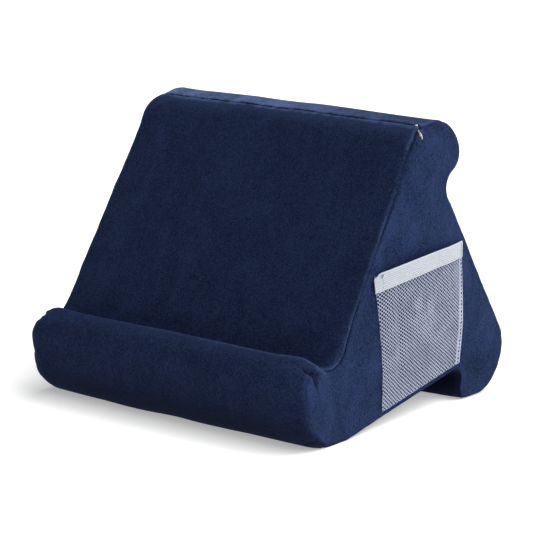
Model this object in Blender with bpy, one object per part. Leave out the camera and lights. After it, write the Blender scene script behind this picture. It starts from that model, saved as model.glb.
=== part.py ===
"""Tablet pillow stand.

A plush cushion whose cross-section has three lips: a front lip that holds a tablet's lower edge, a top
lip and a back lip. It stands on the feet of the front and back lips. A zip runs along the crest, where the
front face meets the top lip, and a net pocket with an elastic band along its mouth is sewn to the right
end panel.

Axes: +X to the viewer's right, -Y to the front, +Z up. The origin is under the middle of the whole stand, on
the surface that it stands on. Lengths are in metres.
"""
import math
from collections import namedtuple

import bmesh
import bpy
from mathutils import Matrix, Vector, geometry

# Cushion: width between the flat parts of its two end panels, and how far each panel swells.
WIDTH = 0.290
FACE_CROWN = 0.0012        # swell of the wrapped cloth at mid-width
PANEL_CROWN = 0.0030       # swell of an end panel inside its edge
PANEL_FADE = 0.0260        # distance from the edge over which that swell builds up

# Corners of the cross-section, going round from the front foot. back and up place the corner,
# and radius rounds it.
Corner = namedtuple("Corner", "name back up radius")
CORNERS = (
    Corner("front_foot", -0.0219, 0.0000, 0.0360),
    Corner("front_lip", -0.0281, 0.0626, 0.0200),
    Corner("lip_edge", -0.0037, 0.0744, 0.0145),
    Corner("crease", 0.0102, 0.0555, 0.0035),
    Corner("crest", 0.1249, 0.2304, 0.0181),
    Corner("top_lip", 0.1754, 0.2406, 0.0229),
    Corner("top_lip_under", 0.1895, 0.2037, 0.0205),
    Corner("notch", 0.1630, 0.1859, 0.0140),
    Corner("back_lip", 0.2531, 0.0413, 0.0326),
    Corner("back_foot", 0.2333, 0.0000, 0.0346),
    Corner("back_foot_front", 0.1825, 0.0000, 0.0115),
    Corner("arch", 0.1912, 0.0297, 0.0080),
    Corner("underside", 0.0383, 0.0000, 0.0304),
)
ARC_STEP = math.radians(15.0)
STRAIGHT_STEP = 0.017

# How the wrapped cloth turns over onto an end panel: depth along X, inset towards the middle of the panel,
# bulge past the panel's plane, and the angle round the turn at which the seam lies. The lip and the crest are
# rounder than the rest, and differ between the left and the right end.
Turn = namedtuple("Turn", "depth inset bulge seam")
Ends = namedtuple("Ends", "left right")
BODY_TURN = Turn(0.0044, 0.0031, 0.0004, math.radians(22.0))
LIP_TURNS = Ends(
    left=Turn(0.0165, 0.0128, 0.0019, math.radians(60.0)),
    right=Turn(0.0181, 0.0092, 0.0046, math.radians(60.0)),
)
CREST_TURNS = Ends(
    left=Turn(0.0107, 0.0076, 0.0026, math.radians(26.0)),
    right=Turn(0.0191, 0.0142, 0.0019, math.radians(28.0)),
)
LIP_BACK = 0.020           # the lip's turn fades out behind this line
LIP_BACK_FADE = 0.030
LIP_HEIGHT = 0.100         # and above this one
LIP_HEIGHT_FADE = 0.020
CREST_BACK = 0.137         # the crest's turn fades out round this point
CREST_HEIGHT = 0.231
CREST_FADE = 0.032
SEAM_SUNK = 0.0012         # depth of the channel that the end seam draws in
# Rings round the turn: share of the way to the seam, or past it to the panel, and share of the seam's depth.
Ring = namedtuple("Ring", "to_seam past_seam sunk")
RINGS = (
    Ring(0.0, 0.0, 0.0),
    Ring(0.6, 0.0, 0.0),
    Ring(0.9, 0.0, 0.1),
    Ring(1.0, 0.0, 1.0),
    Ring(1.0, 0.1, 0.1),
    Ring(1.0, 0.5, 0.0),
    Ring(1.0, 1.0, 0.0),
)
MIDDLE_STATIONS = 7        # rows of points across the width between the two turns
PANEL_GRID = 0.013         # spacing of the points inside an end panel
PANEL_TOLERANCE = 1e-7     # points of a panel nearer than this count as one

# Zip along the crest: a channel sunk in the top lip's cloth, the closed chain in it, its slider and pull.
ZIP_BACK = 0.1430
ZIP_MOUTH = 0.0034         # half-width of the channel at the surface
ZIP_FLOOR = 0.0020         # and at its floor
ZIP_SUNK = 0.0028
ZIP_OPEN = 0.1372          # the channel keeps its full depth this far each side of the middle
ZIP_FADE = 0.0045
CHAIN_WIDTH = 0.0030
CHAIN_HEIGHT = 0.0012
CHAIN_LEFT = -0.1280
SLIDER_TAIL = 0.1250
SLIDER_LENGTH = 0.0075
SLIDER_WIDTH = 0.0034
SLIDER_NOSE_WIDTH = 0.0022
SLIDER_HEIGHT = 0.0030
SLIDER_ROUNDING = 0.0005
PULL_LENGTH = 0.0145
PULL_TIP_RADIUS = 0.0019
PULL_NECK_RADIUS = 0.0010
PULL_THICKNESS = 0.0012
PULL_START = 0.1310        # the pull's neck lies this far right of the middle
PULL_AHEAD = (0.74, -0.42, -0.52)   # the way it hangs from there: right, back and up
PULL_SIDES = 16
PULL_STEPS = 20            # samples of the cloth under the pull, along X

# Pocket: corners of its net panel on the right end, its swell at the mouth, and the elastic over the mouth.
NET_FRONT_BOTTOM = (0.0827, 0.0136)
NET_BACK_BOTTOM = (0.1871, 0.0337)
NET_FRONT_TOP = (0.0705, 0.1278)
NET_BACK_TOP = (0.1871, 0.1351)
NET_SWELL = 0.0080
NET_SWELL_RISE = 1.2       # power of the height at which the swell grows
NET_SWELL_SIDE = 0.6       # power of the sine across the pocket
NET_MOUTH_RISE = 0.0030    # the mouth's middle stands this much higher than its ends
NET_THICKNESS = 0.0010
NET_ACROSS = 14
NET_UP = 12
NET_TOP_SHARE = 0.985      # the net stops just short of the elastic's upper edge
BAND_BOTTOM_SHARE = 0.870
BAND_THICKNESS = 0.0016
BAND_UP = 2

CLEARANCE = 0.0003         # between pieces that lie on each other
POCKET_CLEARANCE = 0.0005  # between the pocket and the swelling panel under it
BAND_CLEARANCE = 0.0006    # between the net and the elastic, along X

Point = namedtuple("Point", "back up out_back out_up sunk")


def smooth_step(value):
    value = min(max(value, 0.0), 1.0)
    return value * value * (3.0 - 2.0 * value)


def lip_share(back, up):
    behind = smooth_step((LIP_BACK - back) / LIP_BACK_FADE)
    below = smooth_step((LIP_HEIGHT - up) / LIP_HEIGHT_FADE)
    return behind * below


def crest_share(back, up):
    distance = math.hypot(back - CREST_BACK, up - CREST_HEIGHT)
    return math.exp(-0.5 * (distance / CREST_FADE) ** 2)


def turn_at(back, up, side):
    """The turn onto an end panel at one place of the section. side is -1 at the left end, 1 at the right."""
    lip_turn = LIP_TURNS.left if side < 0.0 else LIP_TURNS.right
    crest_turn = CREST_TURNS.left if side < 0.0 else CREST_TURNS.right
    lip = lip_share(back, up)
    crest = crest_share(back, up)
    body = 1.0 - lip - crest
    return Turn(*(body * b + lip * l + crest * c for b, l, c in zip(BODY_TURN, lip_turn, crest_turn)))


def corner_arc(before, corner, after):
    """Points and outward normals of one rounded corner. The outline runs clockwise, as seen from +X."""
    here = Vector((corner.back, corner.up))
    to_before = (Vector((before.back, before.up)) - here).normalized()
    to_after = (Vector((after.back, after.up)) - here).normalized()
    half = to_before.angle(to_after) / 2.0
    centre = here + (to_before + to_after).normalized() * corner.radius / math.sin(half)
    start = here + to_before * corner.radius / math.tan(half) - centre
    end = here + to_after * corner.radius / math.tan(half) - centre
    start_angle = math.atan2(start.y, start.x)
    sweep = (math.atan2(end.y, end.x) - start_angle + math.pi) % math.tau - math.pi
    outward = -1.0 if sweep > 0.0 else 1.0
    steps = max(2, math.ceil(abs(sweep) / ARC_STEP))
    arc = []
    for step in range(steps + 1):
        angle = start_angle + sweep * step / steps
        ray = Vector((math.cos(angle), math.sin(angle)))
        spot = centre + ray * corner.radius
        arc.append(Point(spot.x, spot.y, ray.x * outward, ray.y * outward, 0.0))
    return arc


def zip_channel(start, end):
    """The four points of the zip's channel, on the straight stretch of the section that holds it."""
    slope = (end.up - start.up) / (end.back - start.back)
    channel = []
    for shift, sunk in ((-ZIP_MOUTH, 0.0), (-ZIP_FLOOR, ZIP_SUNK), (ZIP_FLOOR, ZIP_SUNK), (ZIP_MOUTH, 0.0)):
        back = ZIP_BACK + shift
        up = start.up + slope * (back - start.back)
        channel.append(Point(back, up, start.out_back, start.out_up, sunk))
    return channel


def straight_run(start, end):
    """Points between two corners, without the ends."""
    length = math.hypot(end.back - start.back, end.up - start.up)
    steps = max(1, math.ceil(length / STRAIGHT_STEP))
    run = []
    for step in range(1, steps):
        share = step / steps
        back = start.back + (end.back - start.back) * share
        up = start.up + (end.up - start.up) * share
        run.append(Point(back, up, start.out_back, start.out_up, 0.0))
    return run


def cross_section():
    outline = []
    arcs = []
    for index, corner in enumerate(CORNERS):
        after = CORNERS[(index + 1) % len(CORNERS)]
        arcs.append(corner_arc(CORNERS[index - 1], corner, after))
    for index, arc in enumerate(arcs):
        outline.extend(arc)
        start = arc[-1]
        end = arcs[(index + 1) % len(arcs)][0]
        if CORNERS[index].name == "crest":
            channel = zip_channel(start, end)
            outline.extend(channel)
            start = channel[-1]
        outline.extend(straight_run(start, end))
    return outline


def crown_at(x):
    share = min(abs(x) / (WIDTH / 2.0), 1.0)
    return FACE_CROWN * (1.0 - share * share)


def channel_depth(x):
    return smooth_step((ZIP_OPEN + ZIP_FADE - abs(x)) / ZIP_FADE)


def cushion_spot(point, x, inset, sunk=0.0):
    """A place on the cushion, from a point of its section. A foot is flat where it would go under."""
    out = crown_at(x) - inset - sunk - point.sunk * channel_depth(x)
    back = point.back + point.out_back * out
    up = point.up + point.out_up * out
    return Vector((x, back, max(up, 0.0)))


def wrapped_reach(point, side):
    """Distance from the middle to where the cloth starts to turn."""
    turn = turn_at(point.back, point.up, side)
    return WIDTH / 2.0 + turn.bulge - turn.depth


def turned_spot(point, side, ring):
    """A place on the turn onto an end panel."""
    turn = turn_at(point.back, point.up, side)
    angle = turn.seam * ring.to_seam + (math.pi / 2.0 - turn.seam) * ring.past_seam
    x = WIDTH / 2.0 + turn.bulge - turn.depth * (1.0 - math.sin(angle))
    inset = turn.inset * (1.0 - math.cos(angle))
    return cushion_spot(point, side * x, inset, SEAM_SUNK * ring.sunk)


def edge_distance(back, up, outline):
    """Distance from a place on an end panel to the section's outline."""
    here = Vector((back, up))
    best = math.inf
    for index, point in enumerate(outline):
        a = Vector((outline[index - 1].back, outline[index - 1].up))
        b = Vector((point.back, point.up))
        along = b - a
        if along.length_squared == 0.0:
            continue
        share = min(max((here - a).dot(along) / along.length_squared, 0.0), 1.0)
        best = min(best, (here - a - along * share).length)
    return best


def panel_reach(back, up, outline, side):
    """How far from the middle an end panel reaches at one place, its turned edge included."""
    turn = turn_at(back, up, side)
    distance = edge_distance(back, up, outline)
    cosine = max(1.0 - distance / turn.inset, 0.0)
    fall = turn.depth * (1.0 - math.sqrt(1.0 - cosine * cosine))
    inside = max(distance - turn.inset, 0.0)
    return WIDTH / 2.0 + turn.bulge - fall + PANEL_CROWN * (1.0 - math.exp(-((inside / PANEL_FADE) ** 2)))


def make_material(name, colour, roughness, metallic):
    material = bpy.data.materials.new(name)
    material.use_nodes = True
    shader = material.node_tree.nodes["Principled BSDF"]
    shader.inputs["Base Color"].default_value = (*colour, 1.0)
    shader.inputs["Roughness"].default_value = roughness
    shader.inputs["Metallic"].default_value = metallic
    return material


def make_object(name, mesh_data, material):
    mesh = bpy.data.meshes.new(name)
    mesh_data.to_mesh(mesh)
    mesh_data.free()
    mesh.materials.append(material)
    part = bpy.data.objects.new(name, mesh)
    bpy.context.scene.collection.objects.link(part)
    return part


def fill_panel(body, rim, side, outline):
    """Close one end of the cushion with its swelling end panel."""
    flat = [Vector((vertex.co.y, vertex.co.z)) for vertex in rim]
    edges = [(index, (index + 1) % len(rim)) for index in range(len(rim))]
    low = Vector((min(p.x for p in flat), min(p.y for p in flat)))
    high = Vector((max(p.x for p in flat), max(p.y for p in flat)))
    inner = []
    rows = int((high.y - low.y) / PANEL_GRID)
    columns = int((high.x - low.x) / PANEL_GRID)
    for row in range(1, rows + 1):
        for column in range(1, columns + 1):
            shift = 0.5 * (row % 2)
            spot = low + Vector(((column - shift) * PANEL_GRID, row * PANEL_GRID))
            if min((spot - p).length for p in flat) > 0.5 * PANEL_GRID:
                inner.append(spot)
    spots, _, faces, sources, _, _ = geometry.delaunay_2d_cdt(flat + inner, edges, [], 1, PANEL_TOLERANCE)
    vertices = []
    for spot, source in zip(spots, sources):
        if source and min(source) < len(rim):
            vertices.append(rim[min(source)])
        else:
            x = side * panel_reach(spot.x, spot.y, outline, side)
            vertices.append(body.verts.new((x, spot.x, spot.y)))
    for face in faces:
        body.faces.new([vertices[index] for index in face])


def build_cushion(outline, material):
    body = bmesh.new()
    stations = []
    for ring in reversed(RINGS):
        stations.append([turned_spot(point, -1.0, ring) for point in outline])
    for row in range(MIDDLE_STATIONS):
        share = (row + 1) / (MIDDLE_STATIONS + 1)
        row_spots = []
        for point in outline:
            start = -wrapped_reach(point, -1.0)
            end = wrapped_reach(point, 1.0)
            row_spots.append(cushion_spot(point, start + (end - start) * share, 0.0))
        stations.append(row_spots)
    for ring in RINGS:
        stations.append([turned_spot(point, 1.0, ring) for point in outline])
    loops = [[body.verts.new(spot) for spot in spots] for spots in stations]
    for first, second in zip(loops, loops[1:]):
        for index in range(len(outline)):
            body.faces.new((first[index - 1], first[index], second[index], second[index - 1]))
    fill_panel(body, loops[0], -1.0, outline)
    fill_panel(body, loops[-1], 1.0, outline)
    bmesh.ops.recalc_face_normals(body, faces=body.faces)
    for face in body.faces:
        face.smooth = True
    return make_object("cushion", body, material)


def cloth_spot(point, x):
    """A place on the wrapped cloth or on the turns at its ends, its seam and the zip's channel left out."""
    turn = turn_at(point.back, point.up, x)
    short = WIDTH / 2.0 + turn.bulge - abs(x)
    sine = 1.0 - min(max(short, 0.0), turn.depth) / turn.depth
    inset = turn.inset * (1.0 - math.sqrt(1.0 - sine * sine))
    return cushion_spot(point._replace(sunk=0.0), x, inset)


class Crest:
    """The line of the zip along the top lip's cloth, the turns at its two ends included."""

    def __init__(self, outline):
        floor = [point for point in outline if point.sunk > 0.0]
        back = (floor[0].back + floor[1].back) / 2.0
        up = (floor[0].up + floor[1].up) / 2.0
        self.middle = Point(back, up, floor[0].out_back, floor[0].out_up, 0.0)
        self.outward = Vector((0.0, self.middle.out_back, self.middle.out_up))
        self.backward = Vector((0.0, self.middle.out_up, -self.middle.out_back))

    def spot(self, x):
        return cloth_spot(self.middle, x)

    def frame(self, start, end):
        """Up and the rotation of a flat piece that lies along the line from start to end."""
        along = (end - start).normalized()
        up = along.cross(self.backward)
        if up.dot(self.outward) < 0.0:
            up = -up
        return up, Matrix((along, self.backward, up)).transposed().to_4x4()


def build_zip_chain(crest, material):
    """The closed chain, a strip that lies on the channel's floor and follows the crest's crown."""
    chain = bmesh.new()
    right = SLIDER_TAIL - CLEARANCE
    steps = MIDDLE_STATIONS + 1
    base = -ZIP_SUNK + CLEARANCE
    loops = []
    for step in range(steps + 1):
        surface = crest.spot(CHAIN_LEFT + (right - CHAIN_LEFT) * step / steps)
        ring = []
        for across, height in ((-0.5, 0.0), (0.5, 0.0), (0.5, 1.0), (-0.5, 1.0)):
            lift = base + CHAIN_HEIGHT * height
            spot = surface + crest.backward * CHAIN_WIDTH * across + crest.outward * lift
            ring.append(chain.verts.new(spot))
        loops.append(ring)
    for first, second in zip(loops, loops[1:]):
        for index in range(len(first)):
            chain.faces.new((first[index - 1], first[index], second[index], second[index - 1]))
    chain.faces.new(loops[0])
    chain.faces.new(loops[-1])
    bmesh.ops.recalc_face_normals(chain, faces=chain.faces)
    return make_object("zip_chain", chain, material)


def build_zip_slider(crest, material):
    """The slider's body, narrower at its nose, low in the channel at the right end of the chain."""
    slider = bmesh.new()
    bmesh.ops.create_cube(slider, size=1.0)
    for vertex in slider.verts:
        width = SLIDER_NOSE_WIDTH if vertex.co.x > 0.0 else SLIDER_WIDTH
        vertex.co = Vector((vertex.co.x * SLIDER_LENGTH, vertex.co.y * width, vertex.co.z * SLIDER_HEIGHT))
    bmesh.ops.bevel(slider, geom=slider.edges[:], offset=SLIDER_ROUNDING, segments=2, affect="EDGES")
    middle = crest.spot(SLIDER_TAIL + SLIDER_LENGTH / 2.0)
    lift = -ZIP_SUNK + CLEARANCE + SLIDER_HEIGHT / 2.0
    up, turn = crest.frame(crest.spot(SLIDER_TAIL), crest.spot(SLIDER_TAIL + SLIDER_LENGTH))
    slider.transform(Matrix.Translation(middle + up * lift) @ turn)
    bmesh.ops.recalc_face_normals(slider, faces=slider.faces)
    return make_object("zip_slider", slider, material)


def build_zip_pull(crest, outline, material):
    """A flat drop-shaped pull that hangs from the slider over the rounded end of the crest."""
    neck = crest.spot(PULL_START)
    along = Vector(PULL_AHEAD).normalized()
    across = crest.outward.cross(along).normalized()
    up = along.cross(across)
    swell = 0.0
    for point in outline:
        for step in range(PULL_STEPS + 1):
            away = cloth_spot(point, PULL_START + PULL_LENGTH * step / PULL_STEPS) - neck
            if abs(away.dot(across)) < 1.5 * PULL_TIP_RADIUS and away.dot(along) > 0.0:
                swell = max(swell, away.dot(up))
    drop = bmesh.new()
    rim = []
    for step in range(PULL_SIDES):
        angle = math.tau * step / PULL_SIDES
        at_tip = math.cos(angle) > 0.0
        radius = PULL_TIP_RADIUS if at_tip else PULL_NECK_RADIUS
        centre = PULL_LENGTH - PULL_TIP_RADIUS if at_tip else PULL_NECK_RADIUS
        rim.append(drop.verts.new((centre + radius * math.cos(angle), radius * math.sin(angle), 0.0)))
    face = drop.faces.new(rim)
    top = bmesh.ops.extrude_face_region(drop, geom=[face])
    raised = [item for item in top["geom"] if isinstance(item, bmesh.types.BMVert)]
    bmesh.ops.translate(drop, verts=raised, vec=(0.0, 0.0, PULL_THICKNESS))
    turn = Matrix((along, across, up)).transposed().to_4x4()
    drop.transform(Matrix.Translation(neck + up * (swell + CLEARANCE)) @ turn)
    bmesh.ops.recalc_face_normals(drop, faces=drop.faces)
    return make_object("zip_pull", drop, material)


def pocket_spot(across, share, lift, outline):
    """A place on the pocket: across from front to back, share of the height, lift off the end panel."""
    bottom = Vector(NET_FRONT_BOTTOM).lerp(Vector(NET_BACK_BOTTOM), across)
    top = Vector(NET_FRONT_TOP).lerp(Vector(NET_BACK_TOP), across)
    spot = bottom.lerp(top, share)
    arch = math.sin(math.pi * across)
    spot.y += NET_MOUTH_RISE * arch * share
    swell = NET_SWELL * arch ** NET_SWELL_SIDE * share ** NET_SWELL_RISE
    x = panel_reach(spot.x, spot.y, outline, 1.0) + POCKET_CLEARANCE + swell + lift
    return Vector((x, spot.x, spot.y))


def build_pocket_sheet(name, shares, lift, thickness, outline, material):
    """One sheet of the pocket: a grid of places, given its thickness outwards."""
    sheet = bmesh.new()
    rows = []
    for share in shares:
        spots = [pocket_spot(column / NET_ACROSS, share, lift, outline) for column in range(NET_ACROSS + 1)]
        rows.append([sheet.verts.new(spot) for spot in spots])
    for lower, upper in zip(rows, rows[1:]):
        for column in range(NET_ACROSS):
            sheet.faces.new((lower[column], lower[column + 1], upper[column + 1], upper[column]))
    part = make_object(name, sheet, material)
    thicken = part.modifiers.new("thickness", "SOLIDIFY")
    thicken.thickness = thickness
    thicken.offset = 1.0
    return part


def even_shares(low, high, steps):
    return [low + (high - low) * step / steps for step in range(steps + 1)]


def centre_on_footprint(parts):
    """Move every piece so that the origin is under the middle of the whole stand."""
    bpy.context.view_layer.update()
    graph = bpy.context.evaluated_depsgraph_get()
    corners = []
    for part in parts:
        solid = part.evaluated_get(graph)
        corners.extend(solid.matrix_world @ Vector(corner) for corner in solid.bound_box)
    low = Vector([min(corner[axis] for corner in corners) for axis in range(3)])
    high = Vector([max(corner[axis] for corner in corners) for axis in range(3)])
    shift = Vector((-(low.x + high.x) / 2.0, -(low.y + high.y) / 2.0, -low.z))
    for part in parts:
        part.location = shift


def main():
    for item in list(bpy.data.objects):
        bpy.data.objects.remove(item, do_unlink=True)
    plush = make_material("navy_plush", (0.022, 0.037, 0.095), 0.9, 0.0)
    net = make_material("grey_net", (0.45, 0.47, 0.55), 0.8, 0.0)
    elastic = make_material("white_elastic", (0.70, 0.72, 0.77), 0.75, 0.0)
    coil = make_material("navy_zip_chain", (0.010, 0.013, 0.030), 0.6, 0.0)
    steel = make_material("zip_steel", (0.60, 0.58, 0.56), 0.3, 1.0)
    net_shares = even_shares(0.0, NET_TOP_SHARE, NET_UP)
    band_shares = even_shares(BAND_BOTTOM_SHARE, 1.0, BAND_UP)
    band_lift = NET_THICKNESS + BAND_CLEARANCE
    outline = cross_section()
    crest = Crest(outline)
    parts = [
        build_cushion(outline, plush),
        build_zip_chain(crest, coil),
        build_zip_slider(crest, steel),
        build_zip_pull(crest, outline, steel),
        build_pocket_sheet("pocket_net", net_shares, 0.0, NET_THICKNESS, outline, net),
        build_pocket_sheet("pocket_elastic", band_shares, band_lift, BAND_THICKNESS, outline, elastic),
    ]
    centre_on_footprint(parts)


main()
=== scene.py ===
"""Looks of the tablet pillow stand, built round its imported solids.

The cushion is one closed mesh: the cloth wrapped round the foam, its turned ends, the end panels and the
relief of seams, folds and wrinkles on them. The zip, the net pocket and its elastic are pieces of their own.

Places are worked out in the stand's own axes (x across, back, up; metres), as its solids are, and then
moved to the frame, where the end of the zip's chain shows how far. A fade is a pair (start, over): its
share is 0 at start and 1 at start + over, and over can be negative.
"""
import math
from collections import namedtuple

import bpy
import numpy as np
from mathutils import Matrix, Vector, geometry, noise
from mathutils.bvhtree import BVHTree


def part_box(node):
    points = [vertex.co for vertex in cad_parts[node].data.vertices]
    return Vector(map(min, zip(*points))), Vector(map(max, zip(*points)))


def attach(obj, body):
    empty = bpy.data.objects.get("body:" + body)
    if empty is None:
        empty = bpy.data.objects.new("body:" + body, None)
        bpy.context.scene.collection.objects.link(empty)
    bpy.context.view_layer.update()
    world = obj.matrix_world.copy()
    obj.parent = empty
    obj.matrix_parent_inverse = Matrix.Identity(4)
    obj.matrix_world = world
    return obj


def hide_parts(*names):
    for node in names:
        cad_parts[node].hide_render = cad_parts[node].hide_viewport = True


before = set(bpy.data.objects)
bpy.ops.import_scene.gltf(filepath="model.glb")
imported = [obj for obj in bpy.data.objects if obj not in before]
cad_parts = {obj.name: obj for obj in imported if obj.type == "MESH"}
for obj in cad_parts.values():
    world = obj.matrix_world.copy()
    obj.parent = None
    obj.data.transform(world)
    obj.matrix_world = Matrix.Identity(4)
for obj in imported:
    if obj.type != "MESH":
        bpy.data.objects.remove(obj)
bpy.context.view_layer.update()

Noise = namedtuple("Noise", "size period seed")
SEED_STRIDES = (17.3, 5.1, 9.7)    # how far apart in the noise two seeds look
ENDS_APART = 0.1           # how far apart in it the seams of the two ends look

# ---------------- cushion: outline and turns of its solid
HALF_WIDTH = 0.290 / 2.0
FACE_CROWN = 0.0012
PANEL_CROWN = 0.0030
PANEL_CROWN_REACH = 0.0260

Corner = namedtuple("Corner", "name back up radius")
CORNERS = (
    Corner("front_foot", -0.0219, 0.0000, 0.0360),
    Corner("front_lip", -0.0281, 0.0626, 0.0200),
    Corner("lip_edge", -0.0037, 0.0744, 0.0145),
    Corner("crease", 0.0102, 0.0555, 0.0035),
    Corner("crest", 0.1249, 0.2304, 0.0181),
    Corner("top_lip", 0.1754, 0.2406, 0.0229),
    Corner("top_lip_under", 0.1895, 0.2037, 0.0205),
    Corner("notch", 0.1630, 0.1859, 0.0140),
    Corner("back_lip", 0.2531, 0.0413, 0.0326),
    Corner("back_foot", 0.2333, 0.0000, 0.0346),
    Corner("back_foot_front", 0.1825, 0.0000, 0.0115),
    Corner("arch", 0.1912, 0.0297, 0.0080),
    Corner("underside", 0.0383, 0.0000, 0.0304),
)
STRAIGHT_STEP = 0.0030     # spacing of the points along the cross-section
CORNER_STEP = 0.0019
FINE_STEP = 0.0013         # and round the corners named below
FINE_CORNERS = ("front_lip", "lip_edge", "crease")
ARC_STEPS_LEAST = 6

# Turn of the wrapped cloth onto an end panel: depth along X, inset and bulge, as the solid has them. Past the
# turn the rows go on over the flat of the panel for reach. The seam lies seam_on past the start of the turn,
# measured over the cloth.
Turn = namedtuple("Turn", "depth inset bulge reach seam_on", defaults=(0.0,))
BODY_TURN = Turn(0.0044, 0.0031, 0.0004, 0.0030)
LIP_TURNS = {-1.0: Turn(0.0165, 0.0128, 0.0019, 0.0030), 1.0: Turn(0.0181, 0.0092, 0.0046, 0.0040)}
CREST_TURNS = {-1.0: Turn(0.0107, 0.0076, 0.0026, 0.0030), 1.0: Turn(0.0191, 0.0142, 0.0019, 0.0030)}
# Where the seam runs, by places on the outline in their order: back, up, seam_on there and how clear it is.
SEAM_STATIONS = (
    (0.0080, 0.0000, 0.0050, 0.2),
    (0.0010, 0.0010, 0.0146, 0.3),
    (-0.0120, 0.0081, 0.0205, 0.3),
    (-0.0205, 0.0181, 0.0212, 0.2),
    (-0.0260, 0.0350, 0.0204, 0.2),
    (-0.0268, 0.0506, 0.0202, 0.2),
    (-0.0202, 0.0656, 0.0189, 0.3),
    (-0.0146, 0.0692, 0.0165, 0.3),
    (0.0023, 0.0661, 0.0105, 0.5),
    (0.0100, 0.0590, 0.0080, 0.9),
    (0.0140, 0.0613, 0.0092, 1.0),
    (0.0160, 0.0645, 0.0112, 1.0),
    (0.0190, 0.0690, 0.0134, 1.0),
    (0.0233, 0.0755, 0.0140, 1.0),
    (0.0316, 0.0882, 0.0108, 1.0),
    (0.0389, 0.0992, 0.0082, 0.9),
    (0.0500, 0.1162, 0.0066, 0.4),
    (0.0669, 0.1419, 0.0056, 0.5),
    (0.0824, 0.1656, 0.0046, 0.8),
    (0.0959, 0.1861, 0.0052, 0.35),
    (0.1083, 0.2051, 0.0068, 0.15),
    (0.1140, 0.2138, 0.0084, 0.30),
    (0.1197, 0.2225, 0.0100, 0.8),
    (0.1257, 0.2291, 0.0116, 1.0),
    (0.1330, 0.2325, 0.0090, 1.0),
    (0.1420, 0.2339, 0.0058, 1.0),
    (0.1545, 0.2364, 0.0055, 0.9),
    (0.1620, 0.2372, 0.0046, 0.4),
    (0.1780, 0.2320, 0.0013, 0.2),
)
SEAM_ELSEWHERE = (0.0013, 0.5)
SEAM_MARGIN = 0.0024       # the rows reach at least this far past the seam
SEAM_LEAD = 0.006          # beyond the first and the last station the seam goes over to SEAM_ELSEWHERE
SEAM_LEAD_OVER = 0.002
LIP_BACK = (0.020, -0.030)         # fades, by back and by up, of where the turn is the lip's
LIP_HEIGHT = (0.100, -0.020)
CREST_SPOT = (0.137, 0.231)        # back and up; round it the turn is the crest's
CREST_SPREAD = 0.032
CREASE_SPOT = (0.0102, 0.0555)     # near the ends the cloth bridges the crease round it
CREASE_SPREAD = 0.018
CREASE_FILL = 0.0110       # reach of the smoothing that fills it
CREASE_ENDS = (0.1260, 0.0170)     # fade of the filling, by the distance from the middle
CREASE_TUCK = 0.019        # round the crease the turn's inset is less than elsewhere, over this reach
CREASE_TUCKED = 0.80       # by this share

# Shares of the way from the wrapped cloth to the seam, and from the seam to the flat of the end panel.
TO_SEAM = (0.0, 0.18, 0.34, 0.48, 0.60, 0.70, 0.78, 0.845, 0.895, 0.93, 0.955, 0.975, 0.99, 1.0)
PAST_SEAM = (0.02, 0.05, 0.09, 0.14, 0.20, 0.28, 0.38, 0.50, 0.62, 0.75, 0.88, 1.0)
PATH_STEPS = 24            # samples of the turn's own curve
TURN_LENGTH = 0.8          # a turn's length, as a share of its depth and inset together
RIM_REACH = 0.030          # distance over which an end panel takes over from its rim
MIDDLE_STEP = 0.0021       # spacing of the rows of points across the width
FINE_SPOTS = (             # back, up and reach of the places where an end panel needs fine points
    (-0.004, 0.054, 0.026),
    (-0.006, 0.016, 0.018),
    (0.140, 0.226, 0.020),
)
PANEL_STEP = 0.0034
PANEL_FINE_STEP = 0.0011
PANEL_CLEAR = 0.6          # points keep this share of their spacing from the rim
CHUNK = 2000               # points whose distances to the rim are worked out at once

# ---------------- zip: sizes shared with its solids
ZIP_BACK = 0.1430
ZIP_SUNK = 0.0028
ZIP_OPEN = 0.1372
ZIP_FADE = 0.0045
CHAIN_LEFT = -0.1280
CHAIN_WIDTH = 0.0030
CHAIN_HEIGHT = 0.0012
SLIDER_TAIL = 0.1250
SLIDER_LENGTH = 0.0075
PULL_LENGTH = 0.0145
PULL_AHEAD = (0.74, -0.42, -0.52)
CLEARANCE = 0.0003

# Cloth folded over the two edges of the zip. flat is the distance from the zip's line where the cloth is
# closed; across and height are where the fold takes it.
Fold = namedtuple("Fold", "flat across height")
FOLDS = (
    Fold(0.0072, 0.0072, 0.0000),
    Fold(0.0058, 0.0059, 0.0003),
    Fold(0.0046, 0.0046, 0.0007),
    Fold(0.0037, 0.0034, 0.0011),
    Fold(0.0029, 0.0024, 0.0012),
    Fold(0.0023, 0.0015, 0.0009),
    Fold(0.0018, 0.0010, 0.0003),
    Fold(0.0014, 0.0010, -0.0005),
    Fold(0.0011, 0.0015, -0.0012),
    Fold(0.0008, 0.0020, -0.0019),
    Fold(0.0005, 0.0020, -0.0025),
    Fold(0.0002, 0.0014, -0.0028),
)
FOLD_WANDER = Noise(0.0010, 0.0046, 5)     # how far the folded edges wander across the gap
FOLD_UNEVEN = Noise(0.35, 0.0150, 6)       # and how unevenly they stand up
FOLD_HIDDEN = -0.001       # cloth lower than this inside the fold keeps still
GAPS = Noise(2.2, 0.0052, 21)
GAP_SHARE = 0.62           # more of this makes more of the zip's length open
GAP_LEAST = 0.05
GAP_MOST = 0.45            # of the full opening, away from the slider
BY_SLIDER = (0.088, 0.012)         # fades by x: the cloth is open up to the slider
PAST_SLIDER = (0.1345, -0.0030)    # and closed past it

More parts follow.
